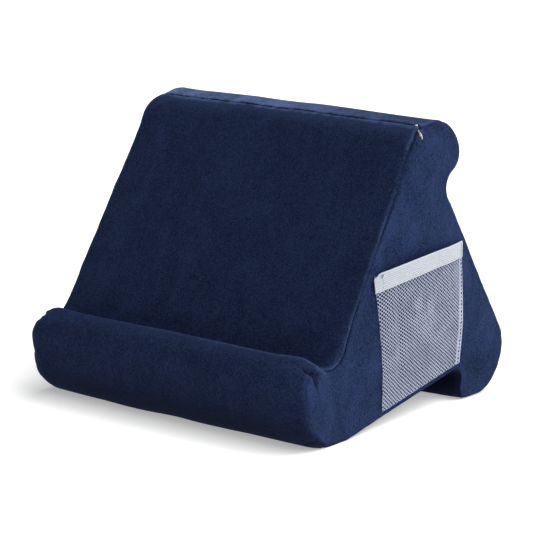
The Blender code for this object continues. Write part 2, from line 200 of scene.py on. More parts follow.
# ---------------- pocket: its solids' outline, with less swell
NET_FRONT_BOTTOM = (0.0827, 0.0136)
NET_BACK_BOTTOM = (0.1871, 0.0337)
NET_FRONT_TOP = (0.0705, 0.1278)
NET_BACK_TOP = (0.1871, 0.1351)
NET_SWELL = 0.0050
NET_SWELL_RISE = 1.2
NET_SWELL_SIDE = 0.6
NET_MOUTH_RISE = 0.0030
NET_CORNER_RISE = 0.0012
NET_TOP_SHARE = 0.985
BAND_BOTTOM_SHARE = 0.870
POCKET_CLEARANCE = 0.0009
POCKET_SHIFT = (-0.0027, 0.0007)   # how far back and up the cloth pocket sits from its solid
POCKET_ROUND = 0.006       # the cover is calm under the pocket, up to this far round it
POCKET_CALM = 0.75         # by this share


def smooth_step(value, start=0.0, over=1.0):
    """A fade: from 0 to 1 with level ends."""
    value = np.clip((value - start) / over, 0.0, 1.0)
    return value * value * (3.0 - 2.0 * value)


def bell(distance, spread):
    return np.exp(-0.5 * (distance / spread) ** 2)


def hump(distance, width):
    return np.exp(-(distance / width) ** 2)


def away_from(spot, back, up):
    return np.hypot(back - spot[0], up - spot[1])


def spots_of(*columns):
    """Places for a noise from one to three columns; the rest of each place is 0."""
    return np.column_stack(np.broadcast_arrays(*columns, *[0.0] * (3 - len(columns))))


def noise_on(places, kind):
    """Smooth noise at some places, from -size to size."""
    offset = Vector([kind.seed * stride for stride in SEED_STRIDES])
    return kind.size * np.array([noise.noise(Vector(place) / kind.period + offset) for place in places])


# ---------------- cross-section
def turn_at(back, up, side):
    """The turn onto the left (side -1) or right (side 1) end panel at some places of the section."""
    lip = smooth_step(back, *LIP_BACK) * smooth_step(up, *LIP_HEIGHT)
    crest = bell(away_from(CREST_SPOT, back, up), CREST_SPREAD)
    body = 1.0 - lip - crest
    kinds = zip(BODY_TURN, LIP_TURNS[side], CREST_TURNS[side])
    return Turn(*(body * b + lip * l + crest * c for b, l, c in kinds))


def corner_arc(before, corner, after):
    """Rows of back, up and outward normal along one rounded corner. The outline runs clockwise from +X."""
    here = Vector((corner.back, corner.up))
    to_before = (Vector((before.back, before.up)) - here).normalized()
    to_after = (Vector((after.back, after.up)) - here).normalized()
    half = to_before.angle(to_after) / 2.0
    centre = here + (to_before + to_after).normalized() * corner.radius / math.sin(half)
    start = here + to_before * corner.radius / math.tan(half) - centre
    end = here + to_after * corner.radius / math.tan(half) - centre
    start_angle = math.atan2(start.y, start.x)
    sweep = (math.atan2(end.y, end.x) - start_angle + math.pi) % math.tau - math.pi
    outward = -1.0 if sweep > 0.0 else 1.0
    spacing = FINE_STEP if corner.name in FINE_CORNERS else CORNER_STEP
    steps = max(ARC_STEPS_LEAST, math.ceil(abs(sweep) * corner.radius / spacing))
    angles = start_angle + sweep * np.arange(steps + 1) / steps
    ray = np.stack([np.cos(angles), np.sin(angles)], axis=1)
    spots = np.array(centre) + ray * corner.radius
    return np.hstack([spots, ray * outward, np.full((steps + 1, 1), np.inf)])


def straight_run(start, end, spacing, with_zip):
    """Rows between two corners. The last column is the signed distance from the zip's line."""
    away = end[:2] - start[:2]
    length = np.hypot(*away)
    tangent = away / length
    steps = max(1, math.ceil(length / spacing))
    at = length * np.arange(1, steps) / steps
    zip_at = (ZIP_BACK - start[0]) / tangent[0]
    if with_zip:
        flats = [fold.flat for fold in FOLDS]
        own = zip_at + np.array([-flat for flat in flats] + [0.0] + flats[::-1])
        at = np.concatenate([at[at < own[0] - 0.5 * spacing], own, at[at > own[-1] + 0.5 * spacing]])
    spots = start[:2] + at[:, None] * tangent
    normal = np.tile(start[2:4], (len(at), 1))
    flat = np.where(with_zip & (abs(at - zip_at) < FOLDS[0].flat + 1e-9), at - zip_at, np.inf)
    return np.hstack([spots, normal, flat[:, None]])


def trace_section():
    arcs = []
    for index, corner in enumerate(CORNERS):
        arcs.append(corner_arc(CORNERS[index - 1], corner, CORNERS[(index + 1) % len(CORNERS)]))
    runs = []
    for index, arc in enumerate(arcs):
        name = CORNERS[index].name
        fine = name in FINE_CORNERS and name != "crease"
        spacing = FINE_STEP if fine else CORNER_STEP if name == "crest" else STRAIGHT_STEP
        runs.append(arc)
        runs.append(straight_run(arc[-1], arcs[(index + 1) % len(arcs)][0], spacing, name == "crest"))
    return np.vstack(runs)


class Section:
    """The outline as columns, with its turns onto the two end panels at each point."""

    def __init__(self):
        rows = trace_section()
        self.back, self.up, self.out_back, self.out_up, self.flat = rows.T
        steps = np.hypot(np.diff(self.back, append=self.back[0]), np.diff(self.up, append=self.up[0]))
        self.along = np.concatenate([[0.0], np.cumsum(steps)[:-1]])
        self.span = (steps + np.roll(steps, 1)) / 2.0
        self.count = len(self.back)
        self.from_crease = away_from(CREASE_SPOT, self.back, self.up)
        self.clear = self.seam_places(steps.sum(), 1)
        seam_on = self.seam_places(steps.sum(), 0)
        kept = 1.0 - CREASE_TUCKED * bell(self.from_crease, CREASE_TUCK)
        self.turns = {}
        for side in (-1.0, 1.0):
            turn = turn_at(self.back, self.up, side)
            inset = turn.inset * kept
            over = seam_on + SEAM_MARGIN - TURN_LENGTH * (turn.depth + inset)
            self.turns[side] = turn._replace(inset=inset, reach=np.maximum(turn.reach, over), seam_on=seam_on)

    def seam_places(self, around, column):
        """seam_on (column 0) or how clear the seam is (column 1), at each point of the outline."""
        at = [self.along[away_from(station, self.back, self.up).argmin()] for station in SEAM_STATIONS]
        first = at[0]
        at = [SEAM_LEAD + (place - first) % around for place in at]
        at = [0.0, SEAM_LEAD - SEAM_LEAD_OVER] + at + [at[-1] + SEAM_LEAD, around]
        rest = [SEAM_ELSEWHERE[column]] * 2
        own = [station[2 + column] for station in SEAM_STATIONS]
        return np.interp((self.along - first + SEAM_LEAD) % around, at, rest + own + rest)


section = Section()
ZIP_COLUMN = int(np.argmin(abs(section.flat)))
ZIP_OUT = np.array([0.0, section.out_back[ZIP_COLUMN], section.out_up[ZIP_COLUMN]])
ZIP_ALONG = np.array([0.0, ZIP_OUT[2], -ZIP_OUT[1]])
ZIP_UP = section.up[ZIP_COLUMN]


def crown_at(x):
    share = np.minimum(abs(x) / HALF_WIDTH, 1.0)
    return FACE_CROWN * (1.0 - share * share)


def own_origin():
    """Where the stand's own axes start in the frame, from the box of the zip's chain."""
    low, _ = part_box("zip_chain")
    top = crown_at(0.0) - ZIP_SUNK + CLEARANCE + CHAIN_HEIGHT
    back = ZIP_BACK - ZIP_ALONG[1] * CHAIN_WIDTH / 2.0 + ZIP_OUT[1] * top
    return np.array([low.x - CHAIN_LEFT, low.y - back, 0.0])


ORIGIN = own_origin()


def wrapped(x, inset):
    """Places on the wrapped cloth, one for each point of the section."""
    out = crown_at(x) - inset
    back = section.back + section.out_back * out
    up = section.up + section.out_up * out
    return np.stack([x, back, np.maximum(up, 0.0)], axis=1)


def filled_crease(row):
    """A row with the crease drawn up, as the cloth bridges it near the ends."""
    weight = bell(section.from_crease, CREASE_SPREAD) * smooth_step(abs(row[:, 0]), *CREASE_ENDS)
    near = np.where(weight > 1e-3)[0]
    if len(near) == 0:
        return row
    gap = section.along[near][:, None] - section.along[None, :]
    kernel = bell(gap, CREASE_FILL) * section.span
    kernel /= kernel.sum(axis=1, keepdims=True)
    filled = row.copy()
    filled[near, 1:] += weight[near, None] * (kernel @ row[:, 1:] - row[near, 1:])
    return filled


def panel_crown(inside):
    return PANEL_CROWN * (1.0 - hump(inside, PANEL_CROWN_REACH))


# ---------------- cushion mesh
def end_path(turn):
    """Inset, x and length along the cloth over the turn and on over the panel, a row for each sample."""
    angles = np.linspace(0.0, math.pi / 2.0, PATH_STEPS)[:, None]
    inset = turn.inset * (1.0 - np.cos(angles))
    x = HALF_WIDTH + turn.bulge - turn.depth * (1.0 - np.sin(angles))
    beyond = turn.reach * np.linspace(0.0, 1.0, PATH_STEPS // 3)[1:, None]
    inset = np.vstack([inset, turn.inset + beyond])
    x = np.vstack([x, HALF_WIDTH + turn.bulge + panel_crown(beyond)])
    steps = np.hypot(np.diff(inset, axis=0), np.diff(x, axis=0))
    length = np.vstack([np.zeros(section.count), np.cumsum(steps, axis=0)])
    return inset, x, length


def end_rows(side):
    """Rows from the wrapped cloth over the seam to the end panel, and each point's distance past the seam."""
    turn = section.turns[side]
    inset, x, length = end_path(turn)
    rows = []
    past = []
    for share in TO_SEAM + tuple(1.0 + share for share in PAST_SEAM):
        before = turn.seam_on * min(share, 1.0)
        at = before + (length[-1] - turn.seam_on) * max(share - 1.0, 0.0)
        columns = range(section.count)
        row_inset = np.array([np.interp(at[i], length[:, i], inset[:, i]) for i in columns])
        row_x = np.array([np.interp(at[i], length[:, i], x[:, i]) for i in columns])
        rows.append(filled_crease(wrapped(side * row_x, row_inset)))
        past.append(at - turn.seam_on)
    return np.array(rows), np.array(past)


def middle_rows():
    left = HALF_WIDTH + section.turns[-1.0].bulge - section.turns[-1.0].depth
    right = HALF_WIDTH + section.turns[1.0].bulge - section.turns[1.0].depth
    count = int((left + right).mean() / MIDDLE_STEP)
    rows = []
    for step in range(1, count):
        rows.append(filled_crease(wrapped(-left + (left + right) * step / count, np.zeros(section.count))))
    return np.array(rows)


def panel_spots(rim):
    """Places inside an end panel, closer together where it is puckered."""
    low_corner, high_corner = rim.min(axis=0), rim.max(axis=0)
    spots = []
    for step in (PANEL_STEP, PANEL_FINE_STEP):
        counts = ((high_corner - low_corner) / step).astype(int)
        rows, columns = np.mgrid[1:counts[1] + 1, 1:counts[0] + 1]
        back = (low_corner[0] + (columns - 0.5 * (rows % 2)) * step).ravel()
        up = (low_corner[1] + rows * step).ravel()
        fine = np.any([away_from(spot, back, up) < spot[2] for spot in FINE_SPOTS], axis=0)
        keep = np.stack([back, up], axis=1)[fine if step == PANEL_FINE_STEP else ~fine]
        clear = np.array([away_from(spot, *rim.T).min() for spot in keep])
        spots.append(keep[clear > PANEL_CLEAR * step])
    return np.vstack(spots)


def distance_to_rim(spots, rim):
    """Distance from each spot to the rim's outline, and the nearest rim point."""
    along = np.roll(rim, -1, axis=0) - rim
    size = np.maximum((along ** 2).sum(axis=1), 1e-18)
    distance = np.empty(len(spots))
    nearest = np.empty(len(spots), int)
    for first in range(0, len(spots), CHUNK):
        here = spots[first:first + CHUNK][:, None, :] - rim
        share = np.clip((here * along).sum(axis=2) / size, 0.0, 1.0)
        gaps = ((here - share[..., None] * along) ** 2).sum(axis=2)
        nearest[first:first + CHUNK] = gaps.argmin(axis=1)
        distance[first:first + CHUNK] = np.sqrt(gaps.min(axis=1))
    return distance, nearest


def panel_x(back, up, side, distance, nearest):
    """How far from the middle an end panel reaches at some places inside its rim."""
    turn = section.turns[side]
    inner = smooth_step(distance, 0.0, RIM_REACH)
    bulge = turn.bulge[nearest] * (1.0 - inner) + turn_at(back, up, side).bulge * inner
    return HALF_WIDTH + bulge + panel_crown(distance + turn.reach[nearest])


def base_cushion():
    """Vertices, faces, and for each vertex its distance past the end seam and its place along the outline."""
    left, left_past = end_rows(-1.0)
    right, right_past = end_rows(1.0)
    middle = middle_rows()
    rows = np.concatenate([left[::-1], middle, right])
    ends = np.full((len(middle), section.count), -1.0)
    past = np.concatenate([left_past[::-1], ends, right_past])
    count = section.count
    index = np.arange(len(rows) * count).reshape(len(rows), count)
    first, second = index[:-1], index[1:]
    quads = np.stack([np.roll(second, 1, 1), second, first, np.roll(first, 1, 1)], axis=2).reshape(-1, 4)
    vertices = [rows.reshape(-1, 3)]
    pasts = [past.ravel()]
    places = [np.tile(section.along, len(rows))]
    faces = quads.tolist()
    total = len(rows) * count
    for side, rim_row in ((-1.0, 0), (1.0, len(rows) - 1)):
        rim = rows[rim_row][:, 1:]
        inner = panel_spots(rim)
        edges = [(i, (i + 1) % count) for i in range(count)]
        points = [Vector(spot) for spot in np.vstack([rim, inner])]
        spots, _, triangles, sources, _, _ = geometry.delaunay_2d_cdt(points, edges, [], 1, 1e-7)
        renamed = []
        added = []
        for spot, source in zip(spots, sources):
            if source and min(source) < count:
                renamed.append(int(index[rim_row, min(source)]))
            else:
                renamed.append(total + len(added))
                added.append(spot[:])
        added = np.array(added)
        distance, nearest = distance_to_rim(added, rim)
        x = panel_x(added[:, 0], added[:, 1], side, distance, nearest)
        vertices.append(np.column_stack([side * x, added]))
        pasts.append(past[rim_row][nearest] + distance)
        places.append(section.along[nearest])
        order = 1 if side > 0.0 else -1
        faces += [[renamed[i] for i in triangle[::order]] for triangle in triangles]
        total += len(added)
    return np.vstack(vertices), faces, np.concatenate(pasts), np.concatenate(places), len(rows)


def link(name, mesh, material):
    piece = bpy.data.objects.new(name, mesh)
    bpy.context.scene.collection.objects.link(piece)
    if material:
        mesh.materials.append(material)
    return piece


def mesh_of(name, vertices, faces, smooth=True):
    mesh = bpy.data.meshes.new(name)
    mesh.from_pydata(np.asarray(vertices, float).tolist(), [], [list(face) for face in faces])
    mesh.update()
    if smooth:
        mesh.shade_smooth()
    return mesh


def piece_of(name, shape, material):
    """A piece from (vertices in the stand's own axes, faces)."""
    vertices, faces = shape
    return link(name, mesh_of(name, vertices + ORIGIN, faces), material)


def read_vectors(items, name):
    """A vector of each item of a mesh, such as its vertices' places, as rows."""
    values = np.empty(len(items) * 3, np.float32)
    items.foreach_get(name, values)
    return values.reshape(-1, 3).astype(float)


def set_attribute(mesh, name, values):
    attribute = mesh.attributes.new(name, "FLOAT", "POINT")
    attribute.data.foreach_set("value", np.asarray(values, np.float32))


# ---------------- simulated swell of the cushion
SWELL_START = 0.0025       # how far the simulated shape starts inside the cushion
SWELL_VOXEL = 0.0060
SWELL_PRESSURE = 4.0
SWELL_FRAMES = 20
SWELL_CAP = 0.0040         # most that a point of it may move
SWELL_SHARE = 0.15         # share of that, less its mean, that the cushion takes over
CREST_FULLER = 0.0009      # the swell leaves the crest short by this
CREST_TOP = (0.226, 0.010)         # fade, by up, of where that is


def simulated_swell(points, faces, normals):
    """How far each point of the cushion swells or sinks, less the mean, when its cover is blown up."""
    shape = link("swell", mesh_of("swell", points - normals * SWELL_START, faces), None)
    remesh = shape.modifiers.new("remesh", "REMESH")
    remesh.mode = "VOXEL"
    remesh.voxel_size = SWELL_VOXEL
    graph = bpy.context.evaluated_depsgraph_get()
    start = bpy.data.meshes.new_from_object(shape.evaluated_get(graph))
    shape.modifiers.clear()
    shape.data = start
    before = read_vectors(start.vertices, "co")
    polygons = [tuple(polygon.vertices) for polygon in start.polygons]
    tree = BVHTree.FromPolygons([Vector(place) for place in before], polygons)
    cloth = shape.modifiers.new("cloth", "CLOTH")
    cloth.settings.use_pressure = True
    cloth.settings.uniform_pressure_force = SWELL_PRESSURE
    cloth.settings.effector_weights.gravity = 0.0
    scene = bpy.context.scene
    for number in range(1, SWELL_FRAMES + 1):
        scene.frame_set(number)
    graph = bpy.context.evaluated_depsgraph_get()
    moved = read_vectors(shape.evaluated_get(graph).to_mesh().vertices, "co") - before
    scene.frame_set(1)
    size = np.linalg.norm(moved, axis=1, keepdims=True)
    moved *= np.minimum(1.0, SWELL_CAP / np.maximum(size, 1e-9))
    out = (moved * read_vectors(start.vertex_normals, "vector")).sum(axis=1)
    swell = np.zeros(len(points))
    for index, place in enumerate(points):
        spot, _, face, _ = tree.find_nearest(Vector(place))
        corners = list(polygons[face])
        near = 1.0 / (np.linalg.norm(before[corners] - np.array(spot), axis=1) + 1e-6)
        swell[index] = (out[corners] * near).sum() / near.sum()
    bpy.data.objects.remove(shape, do_unlink=True)
    return SWELL_SHARE * (swell - swell.mean())


# ---------------- relief of the cushion
SEAM_DEPTH = 0.0016        # in full where the seam is clear, and a tenth of it where it isn't
SEAM_DEPTH_LEAST = 0.10
SEAM_DEPTH_UNEVEN = Noise(0.4, 0.011, 3)
SEAM_WIDTH = 0.0009
SEAM_WIDTH_UNEVEN = Noise(0.3, 0.019, 4)
RIDGE_HEIGHT = 0.0008      # cloth that stands up beside the seam, less so on the panel's side
RIDGE_AWAY = 0.0026
RIDGE_WIDTH = 0.0014
RIDGE_LEAST = 0.15         # added to how clear the seam is, so a ridge shows where a seam hardly does
RIDGE_BEHIND = 0.5         # the ridge on the seam's other side is lower
RIDGE_UNEVEN = Noise(0.6, 0.013, 7)
RIPPLES = Noise(0.0005, 0.0085, 1)
RIPPLE_REACH = 0.0060
UNEVEN = Noise(0.0005, 0.045, 2)           # slow unevenness of the foam and cloth
CLOTH_PULL = Noise(0.0005, 0.030, 8)       # stiff pull lines across the wrapped cloth
CLOTH_PULL_SQUEEZE = (1.0, 0.35, 0.35)
LIP_RISE = 0.0016          # the lip's top stands higher than its solid, round this spot of the section
LIP_RISE_MORE = 0.0030     # and higher still near the ends
LIP_RISE_ENDS = (0.098, 0.040)
LIP_RISE_SPOT = (0.0010, 0.0735)
LIP_RISE_WIDTH = 0.0090

# Soft troughs and ridges, along a line from start to end (x from the middle, back, up), on both ends.
Wrinkle = namedtuple("Wrinkle", "start end width height")
WRINKLES = (
    Wrinkle((0.145, -0.012, 0.066), (0.118, -0.031, 0.048), 0.0040, -0.0020),
    Wrinkle((0.143, -0.016, 0.058), (0.124, -0.032, 0.032), 0.0036, -0.0018),
    Wrinkle((0.141, -0.008, 0.070), (0.105, -0.022, 0.066), 0.0036, -0.0016),
    Wrinkle((0.146, -0.018, 0.041), (0.132, -0.031, 0.018), 0.0034, -0.0014),
    Wrinkle((0.140, -0.004, 0.072), (0.100, -0.008, 0.075), 0.0038, 0.0012),
    Wrinkle((0.147, -0.012, 0.026), (0.136, -0.022, 0.006), 0.0034, 0.0009),
    Wrinkle((0.144, 0.014, 0.066), (0.128, 0.026, 0.082), 0.0040, 0.0007),
    Wrinkle((0.146, -0.006, 0.012), (0.140, -0.012, 0.001), 0.0030, -0.0014),
    Wrinkle((0.146, 0.004, 0.010), (0.140, 0.004, 0.001), 0.0028, -0.0012),
    Wrinkle((0.132, 0.131, 0.234), (0.141, 0.118, 0.214), 0.0030, -0.0010),
    Wrinkle((0.134, 0.150, 0.238), (0.144, 0.168, 0.234), 0.0028, -0.0012),
)
# The pucker is a hollow with straight sides: deepest at its first corner, level with the panel at the others.
PUCKER_CORNERS = ((-0.0140, 0.0690), (-0.0065, 0.0490), (0.0012, 0.0622))
PUCKER_DEPTH = 0.0030
PUCKER_SIDE = 9.0          # how steep its two sides are
PUCKER_FAR = 3.0           # and its far edge
PUCKER_ENDS = (0.136, 0.006)       # fade by the distance from the middle: it lies on the ends only

# Painted shade and painted light on the pile: the vertex attributes that the plush material reads.
# Painted shade along the seams, in the pucker and on cloth that faces the floor.
SEAM_SHADE_WIDTH = 0.0008
SEAM_SHADE_BASE = 0.8
SEAM_SHADE_UNEVEN = Noise(1.0, 0.006, 9)
SEAM_SHADE_LEAST = 0.1
PUCKER_SHADE = 0.70
PANEL_SHADE_WIDTH = 0.0040
UNDER_SHADE = 1.15
UNDER_FACING = (0.20, -1.00)       # fades by the normal's up and by up: painted shade on cloth that faces the floor
UNDER_LOW = (0.062, -0.026)
ARCH_FACING = (0.20, 0.40)         # fades by the normal's way forward, back and up: painted shade on the back foot's front
ARCH_BACK = (0.150, 0.010)
ARCH_LOW = (0.040, -0.010)
STRIP_PAINTED_SHEEN = 3.2        # painted sheen: the strip behind the zip is lighter by this
STRIP_FRONT = (ZIP_BACK, 0.0020)
STRIP_BACK = (0.182, -0.016)
STRIP_ALONG = (-HALF_WIDTH, 2.0 * HALF_WIDTH)
STRIP_DULLER = 0.65        # its painted sheen is less at its right end, by this share
# Painted highlights on edges: on the ridge beside the seam, on the lip's top and on the fold by the zip, in
# patches.
EDGE_BASE = 0.75
EDGE_PATCHES = Noise(0.9, 0.006, 16)
EDGE_PAINTED_SHEEN = 0.30
RIDGE_EDGE = 0.7
LIP_EDGE = 1.4
LIP_EDGE_SPOT = (-0.0010, 0.0735)  # back and up, in the middle of the stand
LIP_EDGE_SHIFT = (0.0030, -0.0040)         # how far the spot moves near the ends
LIP_EDGE_WIDTH = 0.0046
LIP_EDGE_WIDER = 0.0010
LIP_EDGE_ENDS = (0.105, 0.035)
LIP_EDGE_ALONG = (-0.16, 0.30)
FOLD_EDGE = 1.3
FOLD_EDGE_SPOT = (0.1398, 0.2340)
FOLD_EDGE_WIDTH = 0.0026


def segment_distance(points, start, end):
    start, end = np.array(start), np.array(end)
    along = end - start
    share = np.clip((points - start) @ along / (along @ along), 0.0, 1.0)
    return np.linalg.norm(points - start - share[:, None] * along, axis=1), share


def pucker_share(points):
    """How deep in the pucker some places are, from 0 to 1."""
    deepest, low, behind = (np.array(corner) for corner in PUCKER_CORNERS)
    basis = np.column_stack([low - deepest, behind - deepest])
    shares = (points[:, 1:] - deepest) @ np.linalg.inv(basis).T
    beside = PUCKER_SIDE * np.maximum(-shares[:, 0], -shares[:, 1])
    away = np.maximum(PUCKER_FAR * (shares[:, 0] + shares[:, 1]) - (PUCKER_FAR - 1.0), beside)
    return smooth_step(1.0 - np.maximum(away, 0.0)) * smooth_step(abs(points[:, 0]), *PUCKER_ENDS)


def seam_clearness(along):
    return np.interp(along, section.along, section.clear)


def relief_of(points, past, along):
    """How far the cover stands off its plain shape at some points."""
    x, back, up = points.T
    spots = spots_of(along, np.sign(x) * ENDS_APART)
    clear = seam_clearness(along)
    depth = SEAM_DEPTH * (SEAM_DEPTH_LEAST + (1.0 - SEAM_DEPTH_LEAST) * clear)
    depth *= 1.0 + noise_on(spots, SEAM_DEPTH_UNEVEN)
    width = SEAM_WIDTH * (1.0 + noise_on(spots, SEAM_WIDTH_UNEVEN))
    ridge = hump(past + RIDGE_AWAY, RIDGE_WIDTH) + RIDGE_BEHIND * hump(past - RIDGE_AWAY, RIDGE_WIDTH)
    ridge *= (RIDGE_LEAST + clear) * (1.0 + noise_on(spots, RIDGE_UNEVEN))
    ripple = noise_on(spots, RIPPLES) * np.exp(-abs(past) / RIPPLE_REACH)
    relief = RIDGE_HEIGHT * ridge - depth * hump(past, width) + ripple
    relief += noise_on(points, UNEVEN) + noise_on(points * np.array(CLOTH_PULL_SQUEEZE), CLOTH_PULL)
    for wrinkle in WRINKLES:
        for side in (-1.0, 1.0):
            mirror = np.array([side, 1.0, 1.0])
            distance, share = segment_distance(points, wrinkle.start * mirror, wrinkle.end * mirror)
            relief += wrinkle.height * (1.0 - smooth_step(share)) * hump(distance, wrinkle.width)
    rise = LIP_RISE + LIP_RISE_MORE * smooth_step(abs(x), *LIP_RISE_ENDS)
    relief += rise * hump(away_from(LIP_RISE_SPOT, back, up), LIP_RISE_WIDTH)
    return relief - PUCKER_DEPTH * pucker_share(points)


def zip_opening(x):
    """How far the cloth opens over the zip: in full by the slider, elsewhere in short gaps."""
    whole = smooth_step(abs(x), ZIP_OPEN + ZIP_FADE, -ZIP_FADE) * smooth_step(x, *PAST_SLIDER)
    gaps = GAP_MOST * smooth_step(GAP_SHARE + noise_on(spots_of(x), GAPS))
    gaps = np.maximum(gaps, smooth_step(x, *BY_SLIDER))
    return whole * (GAP_LEAST + (1.0 - GAP_LEAST) * gaps)


def fold_zip(points, rows):
    """Fold the cloth over the two edges of the zip, in the rows of the wrapped cloth."""
    grid = points[:rows * section.count].reshape(rows, section.count, 3)
    table = {round(fold.flat, 6): fold for fold in FOLDS}
    for column in np.where(np.isfinite(section.flat))[0]:
        flat = section.flat[column]
        x = grid[:, column, 0]
        opening = zip_opening(x)
        across = np.zeros(rows)
        height = np.full(rows, -ZIP_SUNK)
        if abs(flat) > 1e-6:
            side = math.copysign(1.0, flat)
            fold = table[round(abs(flat), 6)]
            spots = spots_of(x, side)
            wander = noise_on(spots, FOLD_WANDER) if fold.height > FOLD_HIDDEN else 0.0
            across = side * (fold.across + wander - abs(flat))
            height = np.full(rows, fold.height)
            if fold.height > 0.0:
                height *= 1.0 + noise_on(spots, FOLD_UNEVEN)
        grid[:, column] += (across * opening)[:, None] * ZIP_ALONG + (height * opening)[:, None] * ZIP_OUT


def on_top_strip(points, past):
    """1 on the strip of wrapped cloth behind the zip, less towards the right: where painted sheen goes."""
    x, back, up = points.T
    strip = smooth_step(back, *STRIP_FRONT) * smooth_step(back, *STRIP_BACK) * smooth_step(up, *CREST_TOP)
    strip *= smooth_step(0.5 - past / PANEL_SHADE_WIDTH)
    return strip * (1.0 - STRIP_DULLER * smooth_step(x, *STRIP_ALONG))


def edge_share(points, past, along):
    """Where painted highlights lie: on the ridge beside the seam, the lip's top and the fold by the zip, in
    patches.
    """
    x, back, up = points.T
    patchy = np.clip(EDGE_BASE + noise_on(points, EDGE_PATCHES), 0.0, 1.0)
    ridge = RIDGE_EDGE * hump(past + RIDGE_AWAY, RIDGE_WIDTH) * seam_clearness(along)
    near_end = smooth_step(abs(x), *LIP_EDGE_ENDS)
    spot = [middle + shift * near_end for middle, shift in zip(LIP_EDGE_SPOT, LIP_EDGE_SHIFT)]
    lip = LIP_EDGE * hump(away_from(spot, back, up), LIP_EDGE_WIDTH + LIP_EDGE_WIDER * near_end)
    lip *= smooth_step(x, *LIP_EDGE_ALONG)
    fold = FOLD_EDGE * hump(away_from(FOLD_EDGE_SPOT, back, up), FOLD_EDGE_WIDTH)
    return np.maximum(np.maximum(ridge, lip), fold) * patchy


def under_pocket(points):
    """1 where a point lies on the right end panel under the pocket, fading to 0 round it."""
    x, back, up = points.T
    inside = np.minimum(back - NET_FRONT_TOP[0], NET_BACK_TOP[0] - back)
    inside = np.minimum(inside, np.minimum(up - NET_FRONT_BOTTOM[1], NET_BACK_TOP[1] - up))
    return smooth_step(inside, -POCKET_ROUND, POCKET_ROUND) * (x > HALF_WIDTH - POCKET_ROUND)


def underneath(points, normals):
    """1 where painted shade goes: on cloth that faces the floor, and in the arch between lip and foot."""
    back, up = points[:, 1], points[:, 2]
    under = smooth_step(normals[:, 2], *UNDER_FACING) * smooth_step(up, *UNDER_LOW)
    arch = smooth_step(-normals[:, 1], *ARCH_FACING) * smooth_step(back, *ARCH_BACK)
    return np.maximum(under, arch * smooth_step(up, *ARCH_LOW))


def pile_shades(points, normals, past, along):
    """The plush material's vertex attributes of painted shade and painted light, by their names."""
    pucker = pucker_share(points)
    strip = on_top_strip(points, past)
    edge = edge_share(points, past, along)
    spots = spots_of(along, np.sign(points[:, 0]) * ENDS_APART)
    uneven = SEAM_SHADE_BASE + noise_on(spots, SEAM_SHADE_UNEVEN)
    clear = seam_clearness(along) * np.clip(uneven, SEAM_SHADE_LEAST, 1.0)
    # painted shade along the seams and in the pucker
    seam = np.maximum(hump(past, SEAM_SHADE_WIDTH) * clear, PUCKER_SHADE * pucker)
    # painted light on the end panels, kept off the pucker
    panel = smooth_step(0.5 + past / PANEL_SHADE_WIDTH) * (1.0 - pucker)
    return {
        # painted shade along the seams, in the pucker, under the cushion and in the arch
        "seam": np.maximum(seam, UNDER_SHADE * underneath(points, normals)),
        # painted light on the end panels, and painted sheen on the strip behind the zip
        "panel": np.maximum(panel, STRIP_PAINTED_SHEEN * strip),
        # painted highlights on edges
        "edge": edge,
        # painted sheen on the strip behind the zip and on edges
        "painted_sheen": np.maximum(strip, EDGE_PAINTED_SHEEN * edge),
    }


def build_cushion(material):
    points, faces, past, along, rows = base_cushion()
    mesh = mesh_of("cushion_cover", points, faces)
    normals = read_vectors(mesh.vertex_normals, "vector")
    relief = relief_of(points, past, along)
    relief += simulated_swell(points, faces, normals)
    relief += CREST_FULLER * smooth_step(points[:, 2], *CREST_TOP)
    relief *= 1.0 - POCKET_CALM * under_pocket(points)
    places = points + normals * relief[:, None]
    places[:, 2] = np.maximum(places[:, 2], 0.0)
    fold_zip(places, rows)
    mesh.vertices.foreach_set("co", np.asarray(places + ORIGIN, np.float32).ravel())
    mesh.update()
    for name, values in pile_shades(points, normals, past, along).items():
        set_attribute(mesh, name, values)
    return link("cushion_cover", mesh, material)


# ---------------- small shapes
ROD_PROFILE = ((-1.0, 0.35), (-0.55, 0.85), (0.0, 1.0), (1.0, 1.0), (1.55, 0.85), (2.0, 0.35))


def skin(rings, sides, first=0, capped=True):
    """Faces between rings of vertices that follow one another from first on, and over the two end rings."""
    faces = []
    for ring in range(rings - 1):
        for side in range(sides):
            a = first + ring * sides + side
            b = first + ring * sides + (side + 1) % sides
            faces.append((a, b, b + sides, a + sides))
    if capped:
        faces.append(tuple(first + side for side in reversed(range(sides))))
        faces.append(tuple(first + (rings - 1) * sides + side for side in range(sides)))
    return faces


UNLIKE_RODS = (0.31, 0.52, 0.79)           # a direction that no rod runs along


def rods(lines, radius, sides=6):
    """Vertices and faces of round-ended rods, one for each (start, end) in lines."""
    angles = np.arange(sides)[:, None] * math.tau / sides
    vertices = []
    faces = []
    for start, end in lines:
        start, end = np.array(start, float), np.array(end, float)
        length = np.linalg.norm(end - start)
        ahead = (end - start) / length
        aside = np.cross(ahead, UNLIKE_RODS)
        aside /= np.linalg.norm(aside)
        third = np.cross(ahead, aside)
        ring = radius * (np.cos(angles) * aside + np.sin(angles) * third)
        faces += skin(len(ROD_PROFILE), sides, len(vertices) * sides)
        for at, wide in ROD_PROFILE:
            along = at * radius if at <= 0.0 else length + (at - 1.0) * radius
            vertices.append(start + ahead * along + wide * ring)
    return np.vstack(vertices), faces


def tube(path, radius, sides=6):
    """A round thread along a list of places."""
    return rods(list(zip(path[:-1], path[1:])), radius, sides)


def join(pieces):
    """One list of vertices and one of faces from several."""
    vertices = []
    faces = []
    total = 0
    for places, own in pieces:
        vertices.append(np.asarray(places, float))
        faces += [tuple(index + total for index in face) for face in own]
        total += len(places)
    return np.vstack(vertices), faces


